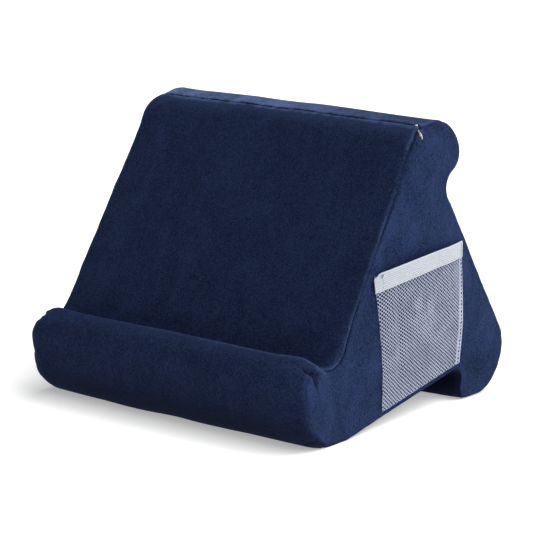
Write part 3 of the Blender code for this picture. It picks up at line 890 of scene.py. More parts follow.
def plate(outline, thickness, rounding, steps=3):
    """A flat plate with rounded edges, on a closed outline in its own plane, from height 0 up."""
    outline = np.asarray(outline, float)
    ahead = np.roll(outline, -1, axis=0) - np.roll(outline, 1, axis=0)
    inward = np.stack([-ahead[:, 1], ahead[:, 0]], axis=1)
    inward /= np.linalg.norm(inward, axis=1, keepdims=True)
    rings = []
    for angle in np.linspace(0.0, math.pi / 2.0, steps + 1):
        rings.append((rounding * (1.0 - math.sin(angle)), rounding * (1.0 - math.cos(angle))))
    rings += [(inset, thickness - height) for inset, height in rings[::-1]]
    vertices = []
    for inset, height in rings:
        vertices.append(np.column_stack([outline + inward * inset, np.full(len(outline), height)]))
    return np.vstack(vertices), skin(len(rings), len(outline))


def placed(shape, origin, ahead, up):
    """A shape of (along, aside, up) vertices set down at origin."""
    vertices, faces = shape
    aside = np.cross(up, ahead)
    return np.array(origin) + np.asarray(vertices) @ np.array([ahead, aside, up]), faces


# ---------------- zip
COIL_PITCH = 0.0011
COIL_REACH = 0.0011        # half-length of one turn of the coil, across the zip
COIL_LAP = 0.0003
COIL_STAGGER = 0.25        # of a pitch, to each side
COIL_RADIUS = 0.00030
COIL_LIFT = 0.0009         # over the channel's floor
TAPE_STEPS = 24
TAPE_THICKNESS = 0.00025
Bar = namedtuple("Bar", "length width corner thickness rounding ahead rise")
SLIDER_BARS = (            # its lower plate, the post on it and its upper plate
    Bar(SLIDER_LENGTH, 0.0034, 0.0013, 0.0011, 0.0004, 0.0, 0.0),
    Bar(0.0030, 0.0014, 0.0006, 0.0016, 0.0001, 0.0018, 0.0008),
    Bar(SLIDER_LENGTH, 0.0034, 0.0013, 0.0011, 0.0004, 0.0, 0.0020),
)
BRIDGE_STEPS = 10
BRIDGE_AHEAD = 0.0007      # of the slider's middle
BRIDGE_RISE = 0.0028       # over the lower plate's underside
BRIDGE_REACH = 0.0011
BRIDGE_HEIGHT = 0.0013
BRIDGE_RADIUS = 0.00080
PULL_WIDTH = 0.0024
PULL_THICKNESS = 0.0011
PULL_ROUNDING = 0.0004
PULL_SHOWN = 0.0114        # length of the pull below the bridge
PULL_START = 0.0038        # from the tail of its solid to the start of the pull
PULL_SWUNG = (0.70, -0.42, -0.58)
PULL_WIDEST = 0.56         # share of its length where it is widest
PULL_BLUNT = 0.75          # less than 1 makes its ends rounder
PULL_SHIFT = (-0.0002, -0.0014, -0.0017)
RIM_INSET = 0.0008         # of the raised rim, from the pull's end
RIM_NARROWER = 0.0014
RIM_RADIUS = 0.00022
SHARP_ANGLE = math.radians(40.0)


def crest_spot(x):
    """A place on the zip's line, on the cloth as it would be without the zip."""
    turn = turn_at(ZIP_BACK, ZIP_UP, math.copysign(1.0, x))
    short = HALF_WIDTH + turn.bulge - abs(x)
    sine = 1.0 - min(max(short, 0.0), turn.depth) / turn.depth
    inset = turn.inset * (1.0 - math.sqrt(1.0 - sine * sine))
    return np.array([x, ZIP_BACK, ZIP_UP]) + ZIP_OUT * (crown_at(x) - inset)


def build_chain(material):
    """The coil's turns, staggered on the two sides of the zip, on their flat tape."""
    right = SLIDER_TAIL - CLEARANCE
    lines = []
    for turn in range(int((right - CHAIN_LEFT) / COIL_PITCH)):
        for side in (-1.0, 1.0):
            place = crest_spot(CHAIN_LEFT + COIL_PITCH * (turn + 0.5 + COIL_STAGGER * side))
            place -= ZIP_OUT * (ZIP_SUNK - COIL_LIFT)
            lines.append((place - ZIP_ALONG * side * COIL_LAP, place + ZIP_ALONG * side * COIL_REACH))
    tape = []
    for step in range(TAPE_STEPS + 1):
        place = crest_spot(CHAIN_LEFT + (right - CHAIN_LEFT) * step / TAPE_STEPS)
        place -= ZIP_OUT * (ZIP_SUNK - CLEARANCE)
        for across, lift in ((-1.0, 1.0), (1.0, 1.0), (1.0, 0.0), (-1.0, 0.0)):
            tape.append(place + ZIP_ALONG * across * CHAIN_WIDTH / 2.0 + ZIP_OUT * TAPE_THICKNESS * lift)
    return piece_of("zip_coil", join([rods(lines, COIL_RADIUS), (tape, skin(TAPE_STEPS + 1, 4))]), material)


def spindle_outline(length, width, steps=18):
    """A spindle, narrow and round at both ends, anticlockwise."""
    side = [(0.0, 0.0)]
    for step in range(1, steps):
        share = 0.5 - 0.5 * math.cos(math.pi * step / steps)
        bent = share ** (math.log(0.5) / math.log(PULL_WIDEST))
        side.append((length * share, width / 2.0 * math.sin(math.pi * bent) ** PULL_BLUNT))
    side.append((length, 0.0))
    return [(x, -y) for x, y in side] + side[-2:0:-1]


def rounded_bar(length, width, corner, steps=5):
    outline = []
    for turn, (x, y) in enumerate(((1, -1), (1, 1), (-1, 1), (-1, -1))):
        for step in range(steps + 1):
            angle = math.pi / 2.0 * (turn - 1 + step / steps)
            outline.append((
                x * (length / 2.0 - corner) + corner * math.cos(angle),
                y * (width / 2.0 - corner) + corner * math.sin(angle),
            ))
    return outline


def build_slider(material, dark):
    """Two dark plates, the post between them and the bright bridge that holds the pull."""
    start, end = crest_spot(SLIDER_TAIL), crest_spot(SLIDER_TAIL + SLIDER_LENGTH)
    ahead = (end - start) / np.linalg.norm(end - start)
    up = np.cross(ahead, ZIP_ALONG)
    low = (start + end) / 2.0 - up * (ZIP_SUNK - CLEARANCE)
    pieces = []
    for bar in SLIDER_BARS:
        shape = plate(rounded_bar(bar.length, bar.width, bar.corner), bar.thickness, bar.rounding)
        pieces.append(placed(shape, low + up * bar.rise + ahead * bar.ahead, ahead, up))
    dark_faces = sum(len(faces) for _, faces in pieces)
    arch = []
    for angle in np.linspace(0.0, math.pi, BRIDGE_STEPS + 1):
        along = BRIDGE_AHEAD + BRIDGE_REACH * math.cos(angle)
        arch.append(low + up * (BRIDGE_RISE + BRIDGE_HEIGHT * math.sin(angle)) + ahead * along)
    slider = piece_of("slider", join(pieces + [tube(arch, BRIDGE_RADIUS)]), material)
    slider.data.materials.append(dark)
    for polygon in slider.data.polygons[:dark_faces]:
        polygon.material_index = 1
    slider.data.set_sharp_from_angle(angle=SHARP_ANGLE)
    return slider


def build_pull(material):
    """The spindle-shaped pull: a rounded plate with a raised rim."""
    low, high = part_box("zip_pull")
    middle = (np.array(low) + np.array(high)) / 2.0 - ORIGIN
    solid_ahead = np.array(PULL_AHEAD) / np.linalg.norm(PULL_AHEAD)
    ahead = np.array(PULL_SWUNG) / np.linalg.norm(PULL_SWUNG)
    aside = np.cross(ZIP_OUT, ahead)
    aside /= np.linalg.norm(aside)
    up = np.cross(ahead, aside)
    tail = middle - solid_ahead * (PULL_LENGTH / 2.0 - PULL_START)
    neck = tail - up * PULL_THICKNESS / 2.0 + np.array(PULL_SHIFT)
    drop = spindle_outline(PULL_SHOWN, PULL_WIDTH)
    inner = spindle_outline(PULL_SHOWN - 2.0 * RIM_INSET, PULL_WIDTH - RIM_NARROWER)
    rim = [(x + RIM_INSET, y, PULL_THICKNESS) for x, y in inner]
    pieces = [
        placed(plate(drop, PULL_THICKNESS, PULL_ROUNDING), neck, ahead, up),
        placed(tube(rim + rim[:1], RIM_RADIUS), neck, ahead, up),
    ]
    pull = piece_of("pull", join(pieces), material)
    pull.data.set_sharp_from_angle(angle=SHARP_ANGLE)
    return pull


# ---------------- pocket
NET_ROW = (0.001905, -0.001356)    # back and up from one hole to the next in its row
NET_NEXT = (0.001907, 0.001676)    # and to the next row's
NET_HOLE = 0.00092         # radius of a hole
NET_HOLE_SHARE = 1.04      # of that, where the net isn't closed
NET_HOLE_UNEVEN = Noise(0.06, 0.0015, 14)
NET_DRAWN_OUT = 1.10       # the holes are drawn out along the row
NET_DRAWN_IN = 1.02
NET_BENDS = (Noise(0.0018, 0.038, 31), Noise(0.0018, 0.038, 32))   # how the rows bend, back and up
NET_CLOSED = 0.17          # in places the holes are smaller by this share
NET_CLOSED_FINE = Noise(1.6, 0.011, 12)
NET_CLOSED_WIDE = Noise(1.0, 0.040, 13)
NET_EACH_WAY = 0.8         # of the diagonal's pitches are laid each way from the middle
NET_BEYOND = (0.010, 0.008)        # cells are laid this far past the pocket's lowest and highest corners
NET_MARGIN = 0.008         # and kept this share past its edges, where they are drawn in
NET_UNDER_HEM = 0.0006
NET_RIM = 0.00016          # the strands' crest over the edges of the holes
NET_UNEVEN = Noise(0.0007, 0.030, 11)      # slow bulges of the net
NET_CREASE_AT = 0.20       # a soft upright trough in the net, as a share of its width
NET_CREASE_WIDTH = 0.035
NET_CREASE_DEPTH = 0.0011
NET_CREASE_TOP = (1.0, -0.3)       # fade of the trough, by the share of the height
NET_EDGE_RISE = 4.0        # the bulges and the trough are whole a quarter of the way in from the edge
CELL = 12                  # points round a cell
HEM_WIDTH = 0.0066         # the net's doubled edge at the back
HEM_LIFT = 0.0005
HEM_EDGE_DROP = 0.0004
HEM_PITCH = 0.0030
HEM_HOLE = 0.00090
HEM_HOLE_AT = 0.0034       # distance of its holes from the edge
HEM_HOLE_WIDER = 0.25      # by this share near the top
HEM_TOP = (0.55, 0.2)
HEM_HOLE_UNEVEN = 0.2
HEM_HOLE_TURN = 2.4        # radians of that unevenness from one hole to the next
HEM_BETWEEN = 0.33         # where the points between a cell's corners lie on its sides
BAND_LIFT = 0.0009
BAND_THICKNESS = 0.0006
BAND_UNEVEN = Noise(0.00025, 0.06, 15)     # places are shares of the band
BAND_UNEVEN_UP = 0.1
BAND_RIBS = 9
BAND_RIB_HEIGHT = 0.00020
BAND_EDGE = 0.25           # its long edges are thinner, over this part of a rib
BAND_EDGE_DROP = 0.0003
BAND_ACROSS = 150
BAND_STEPS = 6             # rows of points for one rib
BAND_OVER = 0.018          # the elastic starts this share of the width in front of the net
BAND_FOLD = (0.045, 0.006)         # fade: its front end is folded under up to here
BAND_FOLD_LIFT = 0.0006
BAND_FRONT = (0.0, 0.035)          # fade: the front end droops
BAND_DROOP = 0.020
BAND_CORNER = 0.16         # its upper front corner is rounded, down to this share of its height
BAND_CORNER_CUT = 0.012
BAND_CORNER_POWER = 8      # how soon that ends along the band
Stitches = namedtuple("Stitches", "across low high count")
BAND_STITCHES = (Stitches(0.050, 0.885, 0.985, 9), Stitches(0.968, 0.880, 0.992, 9))
STITCH_RADIUS = 0.00026
STITCH_SLANT = 0.002       # half of a stitch's reach aside, as a share of the pocket's width
STITCH_ENDS = (0.15, 0.8)  # where it starts and ends, as shares of the pitch
LOOSE_THREADS = 5
LOOSE_STEPS = 5
LOOSE_FROM = (0.045, 0.985)
LOOSE_RADIUS = 0.8         # of a stitch's
LOOSE_SIDES = 5
LOOSE_LIFT = 0.0006
LOOSE_ARCH = 0.0008
LOOSE_REACH = 0.0022       # from its front to its back
LOOSE_AHEAD = 0.4          # the share of that in front of the corner
LOOSE_WAVE = 0.0007
LOOSE_WAVE_TURNS = (2.1, 4.0)      # radians from one thread to the next, and along a thread
LOOSE_HEIGHT = 0.0010
LOOSE_HEIGHT_TURNS = (1.7, 3.0)
NEWTON_STEPS = 8
SHARES_PAST = 0.2          # how far past the pocket its shares are worked out

RIGHT_RIM = end_rows(1.0)[0][-1][:, 1:]


def pocket_flat(across, share):
    """back and up on the pocket's own outline."""
    bottom = np.outer(1.0 - across, NET_FRONT_BOTTOM) + np.outer(across, NET_BACK_BOTTOM)
    top = np.outer(1.0 - across, NET_FRONT_TOP) + np.outer(across, NET_BACK_TOP)
    flat = bottom + (top - bottom) * share[:, None]
    flat[:, 1] += NET_MOUTH_RISE * np.sin(math.pi * across) * share + NET_CORNER_RISE * across * share
    return flat + POCKET_SHIFT


def pocket_shares(flat):
    """The two shares that pocket_flat turns into some places, by Newton's steps."""
    shares = np.full((len(flat), 2), 0.5)
    step = 1e-4
    for _ in range(NEWTON_STEPS):
        here = pocket_flat(*shares.T)
        by_across = (pocket_flat(shares[:, 0] + step, shares[:, 1]) - here) / step
        by_share = (pocket_flat(shares[:, 0], shares[:, 1] + step) - here) / step
        slopes = np.stack([by_across, by_share], axis=2)
        shares = shares + np.linalg.solve(slopes, (flat - here)[..., None])[..., 0]
        shares = np.clip(shares, -SHARES_PAST, 1.0 + SHARES_PAST)
    return shares


def pocket_place(across, share, lift):
    """A place on the pocket: over the end panel by its clearance, its swell at the mouth and lift."""
    flat = pocket_flat(across, share)
    distance, nearest = distance_to_rim(flat, RIGHT_RIM)
    panel = panel_x(*flat.T, 1.0, distance, nearest)
    arch = np.sin(math.pi * np.clip(across, 0.0, 1.0))
    swell = NET_SWELL * arch ** NET_SWELL_SIDE * np.maximum(share, 0.0) ** NET_SWELL_RISE
    swell += noise_on(spots_of(*flat.T), NET_UNEVEN) * np.minimum(1.0, NET_EDGE_RISE * arch * share)
    crease = NET_CREASE_DEPTH * hump(across - NET_CREASE_AT, NET_CREASE_WIDTH)
    crease *= np.minimum(1.0, NET_EDGE_RISE * share) * smooth_step(share, *NET_CREASE_TOP)
    x = panel + POCKET_CLEARANCE + np.maximum(swell - crease, 0.0) + lift
    return np.column_stack([x, flat])


def bent(places):
    """The net's rows bend a little, as the cloth is drawn in one place and slack in another."""
    spots = spots_of(*places.reshape(-1, 2).T)
    return places + np.column_stack([noise_on(spots, bend) for bend in NET_BENDS]).reshape(places.shape)


def honeycomb():
    """Outlines of the net's cells and of their holes, flat, as arrays of cells by 12 points by 2."""
    low = np.array([NET_FRONT_TOP[0], NET_FRONT_BOTTOM[1]]) - NET_BEYOND[0]
    high = np.array([NET_BACK_TOP[0], NET_BACK_TOP[1] + NET_MOUTH_RISE]) + NET_BEYOND[1]
    row, rise = np.array(NET_ROW), np.array(NET_NEXT)
    count = int(NET_EACH_WAY * np.linalg.norm(high - low) / np.linalg.norm(row)) + 2
    steps, rows = np.mgrid[-count:count + 1, -count:count + 1]
    centres = (low + high) / 2.0 + np.outer(steps.ravel(), row) + np.outer(rows.ravel(), rise)
    centres = centres[((centres > low) & (centres < high)).all(axis=1)]
    across, share = pocket_shares(bent(centres)).T
    hem_share = 1.0 - (HEM_WIDTH - NET_UNDER_HEM) / (NET_BACK_TOP[0] - NET_FRONT_TOP[0])
    inside = (across > -NET_MARGIN) & (across < hem_share)
    inside &= (share > -NET_MARGIN) & (share < NET_TOP_SHARE + NET_MARGIN)
    centres = centres[inside]
    spots = spots_of(*centres.T)
    closed = smooth_step(0.5 + noise_on(spots, NET_CLOSED_FINE))
    closed *= smooth_step(0.5 + noise_on(spots, NET_CLOSED_WIDE))
    hole = NET_HOLE * (NET_HOLE_SHARE - NET_CLOSED * closed + noise_on(spots, NET_HOLE_UNEVEN))
    half_round = [(row + rise) / 3.0, rise / 2.0, (2.0 * rise - row) / 3.0]
    half_round += [(rise - row) / 2.0, (rise - 2.0 * row) / 3.0, -row / 2.0]
    outer = np.array(half_round + [-place for place in half_round])
    unit = outer / np.linalg.norm(outer, axis=1, keepdims=True)
    drawn = row / np.linalg.norm(row)
    unit = unit * NET_DRAWN_IN + np.outer(unit @ drawn, drawn) * (NET_DRAWN_OUT - NET_DRAWN_IN)
    return bent(centres[:, None, :] + outer), bent(centres[:, None, :] + hole[:, None, None] * unit)


def cell_faces(cells):
    """Faces between the outline and the hole of each cell."""
    return [face for cell in range(cells) for face in skin(2, CELL, 2 * CELL * cell, capped=False)]


def net_sheet():
    outer, holes = honeycomb()
    shares = pocket_shares(np.concatenate([outer, holes], axis=1).reshape(-1, 2))
    shares = np.clip(shares, 0.0, [1.0, NET_TOP_SHARE])
    lift = np.tile(np.repeat([NET_RIM, -NET_RIM], CELL), len(outer))
    return pocket_place(*shares.T, lift), cell_faces(len(outer))


def hem_strip():
    """The net's doubled back edge: a strip with one column of holes."""
    width = NET_BACK_TOP[0] - NET_FRONT_TOP[0]
    height = NET_BACK_TOP[1] - NET_BACK_BOTTOM[1]
    cells = int(height * NET_TOP_SHARE / HEM_PITCH)
    pitch = height * NET_TOP_SHARE / cells
    side = np.array([(1, -1), (1, -HEM_BETWEEN), (1, HEM_BETWEEN)])
    corners = np.vstack([side, side @ [(0, 1), (-1, 0)], -side, side @ [(0, -1), (1, 0)]])
    outline = corners * [HEM_WIDTH / 2.0, pitch / 2.0] - [HEM_WIDTH / 2.0 - HEM_HOLE_AT, 0.0]
    angles = np.arange(CELL) * math.tau / CELL - math.pi / 4.0
    unit = np.column_stack([np.cos(angles), np.sin(angles)])
    flat = []
    for cell in range(cells):
        centre = np.array([-HEM_HOLE_AT, (cell + 0.5) * pitch])
        wider = HEM_HOLE_WIDER * smooth_step(cell / cells, *HEM_TOP)
        wider += HEM_HOLE_UNEVEN * math.sin(cell * HEM_HOLE_TURN)
        flat.append(np.vstack([centre + outline, centre + HEM_HOLE * (1.0 + wider) * unit]))
    back, up = np.vstack(flat).T
    at_edge = abs(back + HEM_WIDTH / 2.0) > HEM_WIDTH / 2.0 - 1e-5
    lift = HEM_LIFT - HEM_EDGE_DROP * at_edge
    return pocket_place(1.0 + back / width, up / height, lift), cell_faces(cells)


def fold_lift(across):
    """How far the elastic's folded front end lifts it."""
    return BAND_FOLD_LIFT * (1.0 - smooth_step(across, *BAND_FOLD))


def build_band(material):
    """The ribbed elastic along the mouth, closed, its front end folded under."""
    rows = BAND_RIBS * BAND_STEPS
    across, rise = np.meshgrid(np.arange(BAND_ACROSS + 1) / BAND_ACROSS, np.arange(rows + 1) / rows)
    across, rise = across.ravel(), rise.ravel()
    corner = smooth_step(rise, 1.0 - BAND_CORNER, BAND_CORNER) ** 2
    squeezed = across * (1.0 + BAND_OVER) - BAND_OVER
    squeezed += BAND_CORNER_CUT * corner * (1.0 - across) ** BAND_CORNER_POWER
    share = BAND_BOTTOM_SHARE + (1.0 - BAND_BOTTOM_SHARE) * rise
    share -= BAND_DROOP * (1.0 - smooth_step(squeezed, *BAND_FRONT)) * rise ** 3
    rib = abs(np.sin(math.pi * BAND_RIBS * rise))
    edge = np.minimum(rise, 1.0 - rise) * BAND_RIBS
    lift = BAND_LIFT + BAND_RIB_HEIGHT * rib - BAND_EDGE_DROP * hump(edge, BAND_EDGE) + fold_lift(squeezed)
    lift += noise_on(spots_of(across, rise * BAND_UNEVEN_UP), BAND_UNEVEN)
    front = pocket_place(squeezed, share, lift)
    back = pocket_place(squeezed, share, lift - BAND_THICKNESS)
    count = len(front)
    index = np.arange(count).reshape(rows + 1, BAND_ACROSS + 1)
    quads = np.stack([index[:-1, :-1], index[:-1, 1:], index[1:, 1:], index[1:, :-1]], axis=2).reshape(-1, 4)
    rim = np.concatenate([index[0], index[1:, -1], index[-1, -2::-1], index[-2:0:-1, 0]])
    rim_quads = np.stack([rim, rim + count, np.roll(rim, -1) + count, np.roll(rim, -1)], axis=1)
    faces = np.concatenate([quads, quads[:, [0, 3, 2, 1]] + count, rim_quads])
    band = piece_of("elastic_band", (np.vstack([front, back]), faces.tolist()), material)
    # where painted shade goes: the grooves between the ribs
    set_attribute(band.data, "groove", np.tile((1.0 - rib) ** 2 * (edge > 0.5), 2))
    return band


def build_stitches(material):
    """Thread that holds the elastic's two ends, and the loose ends of thread at its front upper corner."""
    lines = []
    for row in BAND_STITCHES:
        pitch = (row.high - row.low) / row.count
        lift = BAND_LIFT + BAND_RIB_HEIGHT + fold_lift(row.across)
        for step in range(row.count):
            share = row.low + pitch * (step + np.array(STITCH_ENDS))
            across = row.across + STITCH_SLANT * (np.array([-1.0, 1.0]) + 2.0 * (step % 2))
            lines.append(tuple(pocket_place(across, share, lift)))
    pieces = [rods(lines, STITCH_RADIUS)]
    start = pocket_place(*np.array(LOOSE_FROM)[:, None], BAND_LIFT + BAND_FOLD_LIFT)[0]
    for loose in range(LOOSE_THREADS):
        path = []
        for bend in np.arange(LOOSE_STEPS + 1) / LOOSE_STEPS:
            wave = loose * LOOSE_WAVE_TURNS[0] + bend * LOOSE_WAVE_TURNS[1]
            height = loose * LOOSE_HEIGHT_TURNS[0] + bend * LOOSE_HEIGHT_TURNS[1]
            path.append(start + np.array([
                LOOSE_LIFT + LOOSE_ARCH * math.sin(math.pi * bend),
                LOOSE_REACH * (bend - LOOSE_AHEAD) + LOOSE_WAVE * math.sin(wave),
                LOOSE_HEIGHT * math.cos(height),
            ]))
        pieces.append(tube(path, STITCH_RADIUS * LOOSE_RADIUS, LOOSE_SIDES))
    return piece_of("pocket_thread", join(pieces), material)


# ---------------- materials
NOISE_MIDDLE = (0.3, 0.7)  # where most of a noise's values lie
PILE_SCALE = 1400.0        # a noise's scale is in waves a metre
TUFT_SCALE = 380.0
NAP_SCALE = 36.0
KNIT_SCALE = 2600.0
WORN_SCALE = 420.0
NICKEL = (0.80, 0.79, 0.78)
NICKEL_WORN = (0.62, 0.50, 0.42)
NET_DARK = (0.282, 0.313, 0.412)
NET_LIGHT = (0.398, 0.436, 0.550)
ELASTIC_DARK = (0.40, 0.425, 0.467)
ELASTIC_LIGHT = (0.492, 0.52, 0.56)
GROOVE_PAINTED_SHADE = 0.38       # painted shade in the grooves between the ribs, by this share of the elastic's tone
COIL_NAVY = (0.006, 0.008, 0.016)
ENAMEL_NAVY = (0.012, 0.016, 0.028)
THREAD_GREYS = ((0.16, 0.19, 0.28), (0.34, 0.38, 0.47))
PLUSH_DARK = (0.0030, 0.0054, 0.0162)
PLUSH_LIGHT = (0.0172, 0.0310, 0.0860)
# painted shade: the pile's colour along the seams, in the pucker and underneath
PLUSH_PAINTED_SHADE = (0.0020, 0.0034, 0.0095)
PLUSH_PAINTED_SHEEN = (0.210, 0.300, 0.570)        # painted sheen: the palest that the pile gets on the strip behind the zip and on edges
PAINTED_SHADE_MOST = 0.75
PAINTED_SHEEN_MOST = 0.62
# painted highlight: edges are lighter by this share
EDGE_HIGHLIGHT = 1.3
# Painted light: the end panels, lit from the side and with their pile lying the other way, are lighter.
PANEL_PAINTED_LIGHT = 0.40       # painted light, by this share
NAP_SHOWN = 0.65           # share of the nap's unevenness that shows elsewhere


class Nodes:
    """A Principled material whose nodes are added one call at a time."""

    def __init__(self, name, colour=(0.8, 0.8, 0.8), roughness=0.8, **constants):
        self.material = bpy.data.materials.new(name)
        self.material.use_nodes = True
        self.tree = self.material.node_tree
        self.shader = self.tree.nodes["Principled BSDF"]
        self.shader.inputs["Base Color"].default_value = (*colour, 1.0)
        self.shader.inputs["Roughness"].default_value = roughness
        for name, value in constants.items():
            self.shader.inputs[name.replace("_", " ")].default_value = value

    def connect(self, socket, value):
        if hasattr(value, "links"):
            self.tree.links.new(value, socket)
        elif isinstance(value, tuple) and socket.type == "RGBA":
            socket.default_value = (*value, 1.0)
        else:
            socket.default_value = value

    def add(self, kind, values, output=0, **settings):
        """A node's output, with its inputs set or linked by name or number."""
        node = self.tree.nodes.new(kind)
        for name, value in settings.items():
            setattr(node, name, value)
        for name, value in values.items():
            self.connect(node.inputs[name], value)
        return node.outputs[output]

    def set(self, name, output):
        self.tree.links.new(output, self.shader.inputs[name])

    def places(self, scale=(1.0, 1.0, 1.0)):
        source = self.add("ShaderNodeTexCoord", {}, "Object")
        return self.add("ShaderNodeMapping", {"Vector": source, "Scale": scale})

    def noise(self, scale, detail=2.0, roughness=0.5, distortion=0.0, places=None):
        values = {"Scale": scale, "Detail": detail, "Roughness": roughness, "Distortion": distortion}
        values["Vector"] = places or self.places()
        return self.add("ShaderNodeTexNoise", values, "Fac")

    def attribute(self, name):
        return self.add("ShaderNodeAttribute", {}, "Fac", attribute_name=name)

    def maths(self, operation, a, b=0.0, c=0.0):
        return self.add("ShaderNodeMath", {0: a, 1: b, 2: c}, operation=operation)

    def spread(self, value, low, high, to_low=0.0, to_high=1.0):
        values = {"Value": value, "From Min": low, "From Max": high, "To Min": to_low, "To Max": to_high}
        return self.add("ShaderNodeMapRange", values)

    def mix(self, share, first, second):
        return self.add("ShaderNodeMix", {0: share, 6: first, 7: second}, 2, data_type="RGBA")

    def scale(self, colour, factor):
        return self.add("ShaderNodeVectorMath", {"Vector": colour, "Scale": factor}, operation="SCALE")

    def bump(self, height, distance, strength, under=None):
        values = {"Height": height, "Distance": distance, "Strength": strength}
        if under:
            values["Normal"] = under
        return self.add("ShaderNodeBump", values)


def plush_material():
    """Short navy pile in three sizes of noise, with painted shade and light from the cushion's attributes."""
    plush = Nodes(
        "navy_plush", roughness=0.95, Sheen_Weight=0.12, Sheen_Roughness=0.35,
        Sheen_Tint=(0.25, 0.42, 1.0, 1.0), Specular_IOR_Level=0.05,
    )
    panel = plush.attribute("panel")
    pile = plush.noise(PILE_SCALE, detail=1.0, roughness=0.7)
    tufts = plush.noise(TUFT_SCALE, detail=2.0, roughness=0.6, distortion=0.4)
    places = plush.places((1.0, 1.0, 0.6))
    nap = plush.noise(NAP_SCALE, detail=3.0, roughness=0.6, distortion=0.8, places=places)
    tone = plush.maths("MULTIPLY_ADD", tufts, 0.8, plush.maths("MULTIPLY_ADD", pile, 2.6, -1.25))
    shown = plush.maths("MULTIPLY_ADD", panel, 1.0 - NAP_SHOWN, NAP_SHOWN)
    tone = plush.maths("ADD", tone, plush.maths("MULTIPLY", plush.maths("SUBTRACT", nap, 0.5), shown))
    colour = plush.mix(plush.spread(tone, 0.0, 1.0), PLUSH_DARK, PLUSH_LIGHT)
    # painted light: lighter on the end panels, on the strip behind the zip and on edges
    painted_light = plush.maths("MULTIPLY_ADD", panel, PANEL_PAINTED_LIGHT, 1.0)
    painted_light = plush.maths("MULTIPLY_ADD", plush.attribute("edge"), EDGE_HIGHLIGHT, painted_light)
    # painted sheen: a paler colour mixed in on the strip behind the zip and on edges
    painted_sheen = plush.mix(plush.spread(tone, 0.0, 1.0, 0.225, 0.775), (0.0, 0.0, 0.0), PLUSH_PAINTED_SHEEN)
    sheen_share = plush.maths("MULTIPLY", plush.attribute("painted_sheen"), PAINTED_SHEEN_MOST)
    colour = plush.mix(sheen_share, plush.scale(colour, painted_light), painted_sheen)
    # painted shade: darker along the seams, in the pucker and underneath
    colour = plush.mix(plush.maths("MULTIPLY", plush.attribute("seam"), PAINTED_SHADE_MOST), colour, PLUSH_PAINTED_SHADE)
    plush.set("Base Color", colour)
    soft = plush.bump(nap, 0.0030, 0.35)
    rough = plush.bump(tufts, 0.0008, 0.5, soft)
    plush.set("Normal", plush.bump(pile, 0.0006, 0.7, rough))
    return plush.material


def grained_material(name, scale, colours=(), roughnesses=(), **constants):
    """A material with two colours or two roughnesses spread over its fine grain."""
    material = Nodes(name, **constants)
    share = material.spread(material.noise(scale), *NOISE_MIDDLE, *roughnesses)
    if colours:
        material.set("Base Color", material.mix(share, *colours))
    else:
        material.set("Roughness", share)
    return material.material


def metal_material():
    """Nickel with a warm cast where it has worn."""
    metal = Nodes("zip_nickel", Metallic=1.0)
    worn = metal.noise(WORN_SCALE, detail=3.0)
    metal.set("Base Color", metal.mix(metal.spread(worn, 0.4, 0.65), NICKEL, NICKEL_WORN))
    metal.set("Roughness", metal.spread(worn, *NOISE_MIDDLE, 0.20, 0.38))
    return metal.material


def net_material():
    net = Nodes("grey_net", roughness=0.75, Specular_IOR_Level=0.3)
    knit = net.noise(KNIT_SCALE, detail=1.0)
    tone = net.maths("MULTIPLY_ADD", knit, 0.5, net.maths("MULTIPLY", net.noise(60.0), 0.5))
    net.set("Base Color", net.mix(net.spread(tone, *NOISE_MIDDLE), NET_DARK, NET_LIGHT))
    net.set("Normal", net.bump(knit, 0.0002, 0.6))
    return net.material


def elastic_material():
    elastic = Nodes("white_elastic", roughness=0.65, Specular_IOR_Level=0.35)
    fine = elastic.noise(1.0, detail=1.0, places=elastic.places((400.0, 900.0, KNIT_SCALE)))
    colour = elastic.mix(elastic.spread(fine, *NOISE_MIDDLE), ELASTIC_DARK, ELASTIC_LIGHT)
    # painted shade in the grooves between the ribs
    groove_shade = elastic.maths("MULTIPLY_ADD", elastic.attribute("groove"), -GROOVE_PAINTED_SHADE, 1.03)
    elastic.set("Base Color", elastic.scale(colour, groove_shade))
    elastic.set("Normal", elastic.bump(fine, 0.00015, 0.5))
    return elastic.material


def floor_material():
    """White, and itself faintly luminous like a lit sweep."""
    floor = Nodes("pale_floor", (0.92, 0.92, 0.92), 0.9, Specular_IOR_Level=0.1, Emission_Strength=0.36)
    floor.shader.inputs["Emission Color"].default_value = (1.0, 1.0, 1.0, 1.0)
    return floor.material


# ---------------- stage
CAMERA_PLACE = (1.34949, -1.50421, 0.57838)   # from the origin of the stand's own axes
CAMERA_AHEAD = (-0.62434, 0.74956, -0.21992)
CAMERA_LENS = 172.67
Lamp = namedtuple("Lamp", "name azimuth elevation strength")
LAMPS = (
    Lamp("side", 100.0, 40.0, 1.59),
    Lamp("back", 144.0, 58.0, 2.30),
    Lamp("front", 40.0, 50.0, 0.91),
)
LAMP_SOFTNESS = math.radians(60.0)
SKY_STRENGTH = 0.04
FLOOR_REACH = 20.0


def towards(azimuth, elevation):
    """The direction to a lamp; azimuth 0 is in front of the stand and 90 to its right."""
    a, e = math.radians(azimuth), math.radians(elevation)
    return Vector((math.sin(a) * math.cos(e), -math.cos(a) * math.cos(e), math.sin(e)))


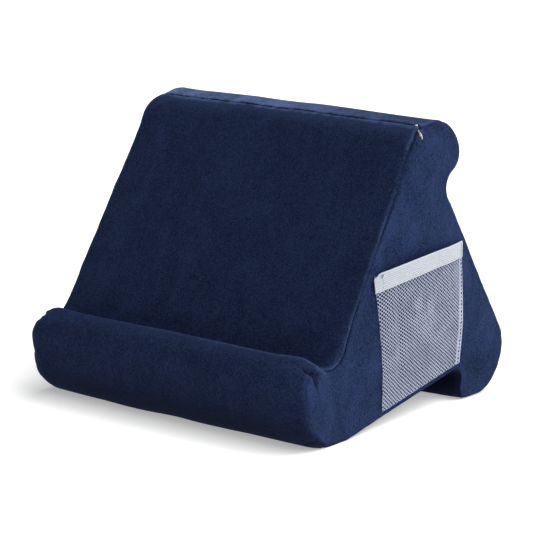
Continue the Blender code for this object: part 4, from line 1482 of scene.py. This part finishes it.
def build_stage():
    scene = bpy.context.scene
    camera = bpy.data.objects.new("camera", bpy.data.cameras.new("camera"))
    camera.data.lens = CAMERA_LENS
    camera.location = ORIGIN + np.array(CAMERA_PLACE)
    camera.rotation_euler = Vector(CAMERA_AHEAD).to_track_quat("-Z", "Y").to_euler()
    scene.collection.objects.link(camera)
    scene.camera = camera
    for lamp in LAMPS:
        light = bpy.data.lights.new(lamp.name, "SUN")
        light.energy = lamp.strength
        light.angle = LAMP_SOFTNESS
        holder = bpy.data.objects.new(lamp.name, light)
        holder.rotation_euler = towards(lamp.azimuth, lamp.elevation).to_track_quat("Z", "Y").to_euler()
        scene.collection.objects.link(holder)
    scene.world = bpy.data.worlds.new("sky")
    scene.world.use_nodes = True
    sky = scene.world.node_tree.nodes["Background"]
    sky.inputs["Color"].default_value = (1.0, 1.0, 1.0, 1.0)
    sky.inputs["Strength"].default_value = SKY_STRENGTH
    scene.view_settings.view_transform = "Standard"
    corners = [(x * FLOOR_REACH, y * FLOOR_REACH, 0.0) for x, y in ((-1, -1), (1, -1), (1, 1), (-1, 1))]
    link("floor", mesh_of("floor", corners, [(0, 1, 2, 3)], smooth=False), floor_material())


def stand_for(piece, node):
    """A piece that rides on the stand and is shown in place of one of its solids."""
    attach(piece, "root")
    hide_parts(node)


build_stage()
cushion = build_cushion(plush_material())
stand_for(cushion, "cushion")

coil = grained_material(
    "navy_coil", 1500.0, roughnesses=(0.4, 0.65), colour=COIL_NAVY, Specular_IOR_Level=0.3,
)
enamel = grained_material("zip_enamel", 500.0, roughnesses=(0.35, 0.55), colour=ENAMEL_NAVY)
metal = metal_material()
stand_for(build_chain(coil), "zip_chain")
stand_for(build_slider(metal, enamel), "zip_slider")
stand_for(build_pull(metal), "zip_pull")

net = piece_of("net", join([net_sheet(), hem_strip()]), net_material())
stand_for(net, "pocket_net")
band = build_band(elastic_material())
stand_for(band, "pocket_elastic")
thread = build_stitches(grained_material("grey_thread", 2400.0, colours=THREAD_GREYS, roughness=0.7))
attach(thread, "root")
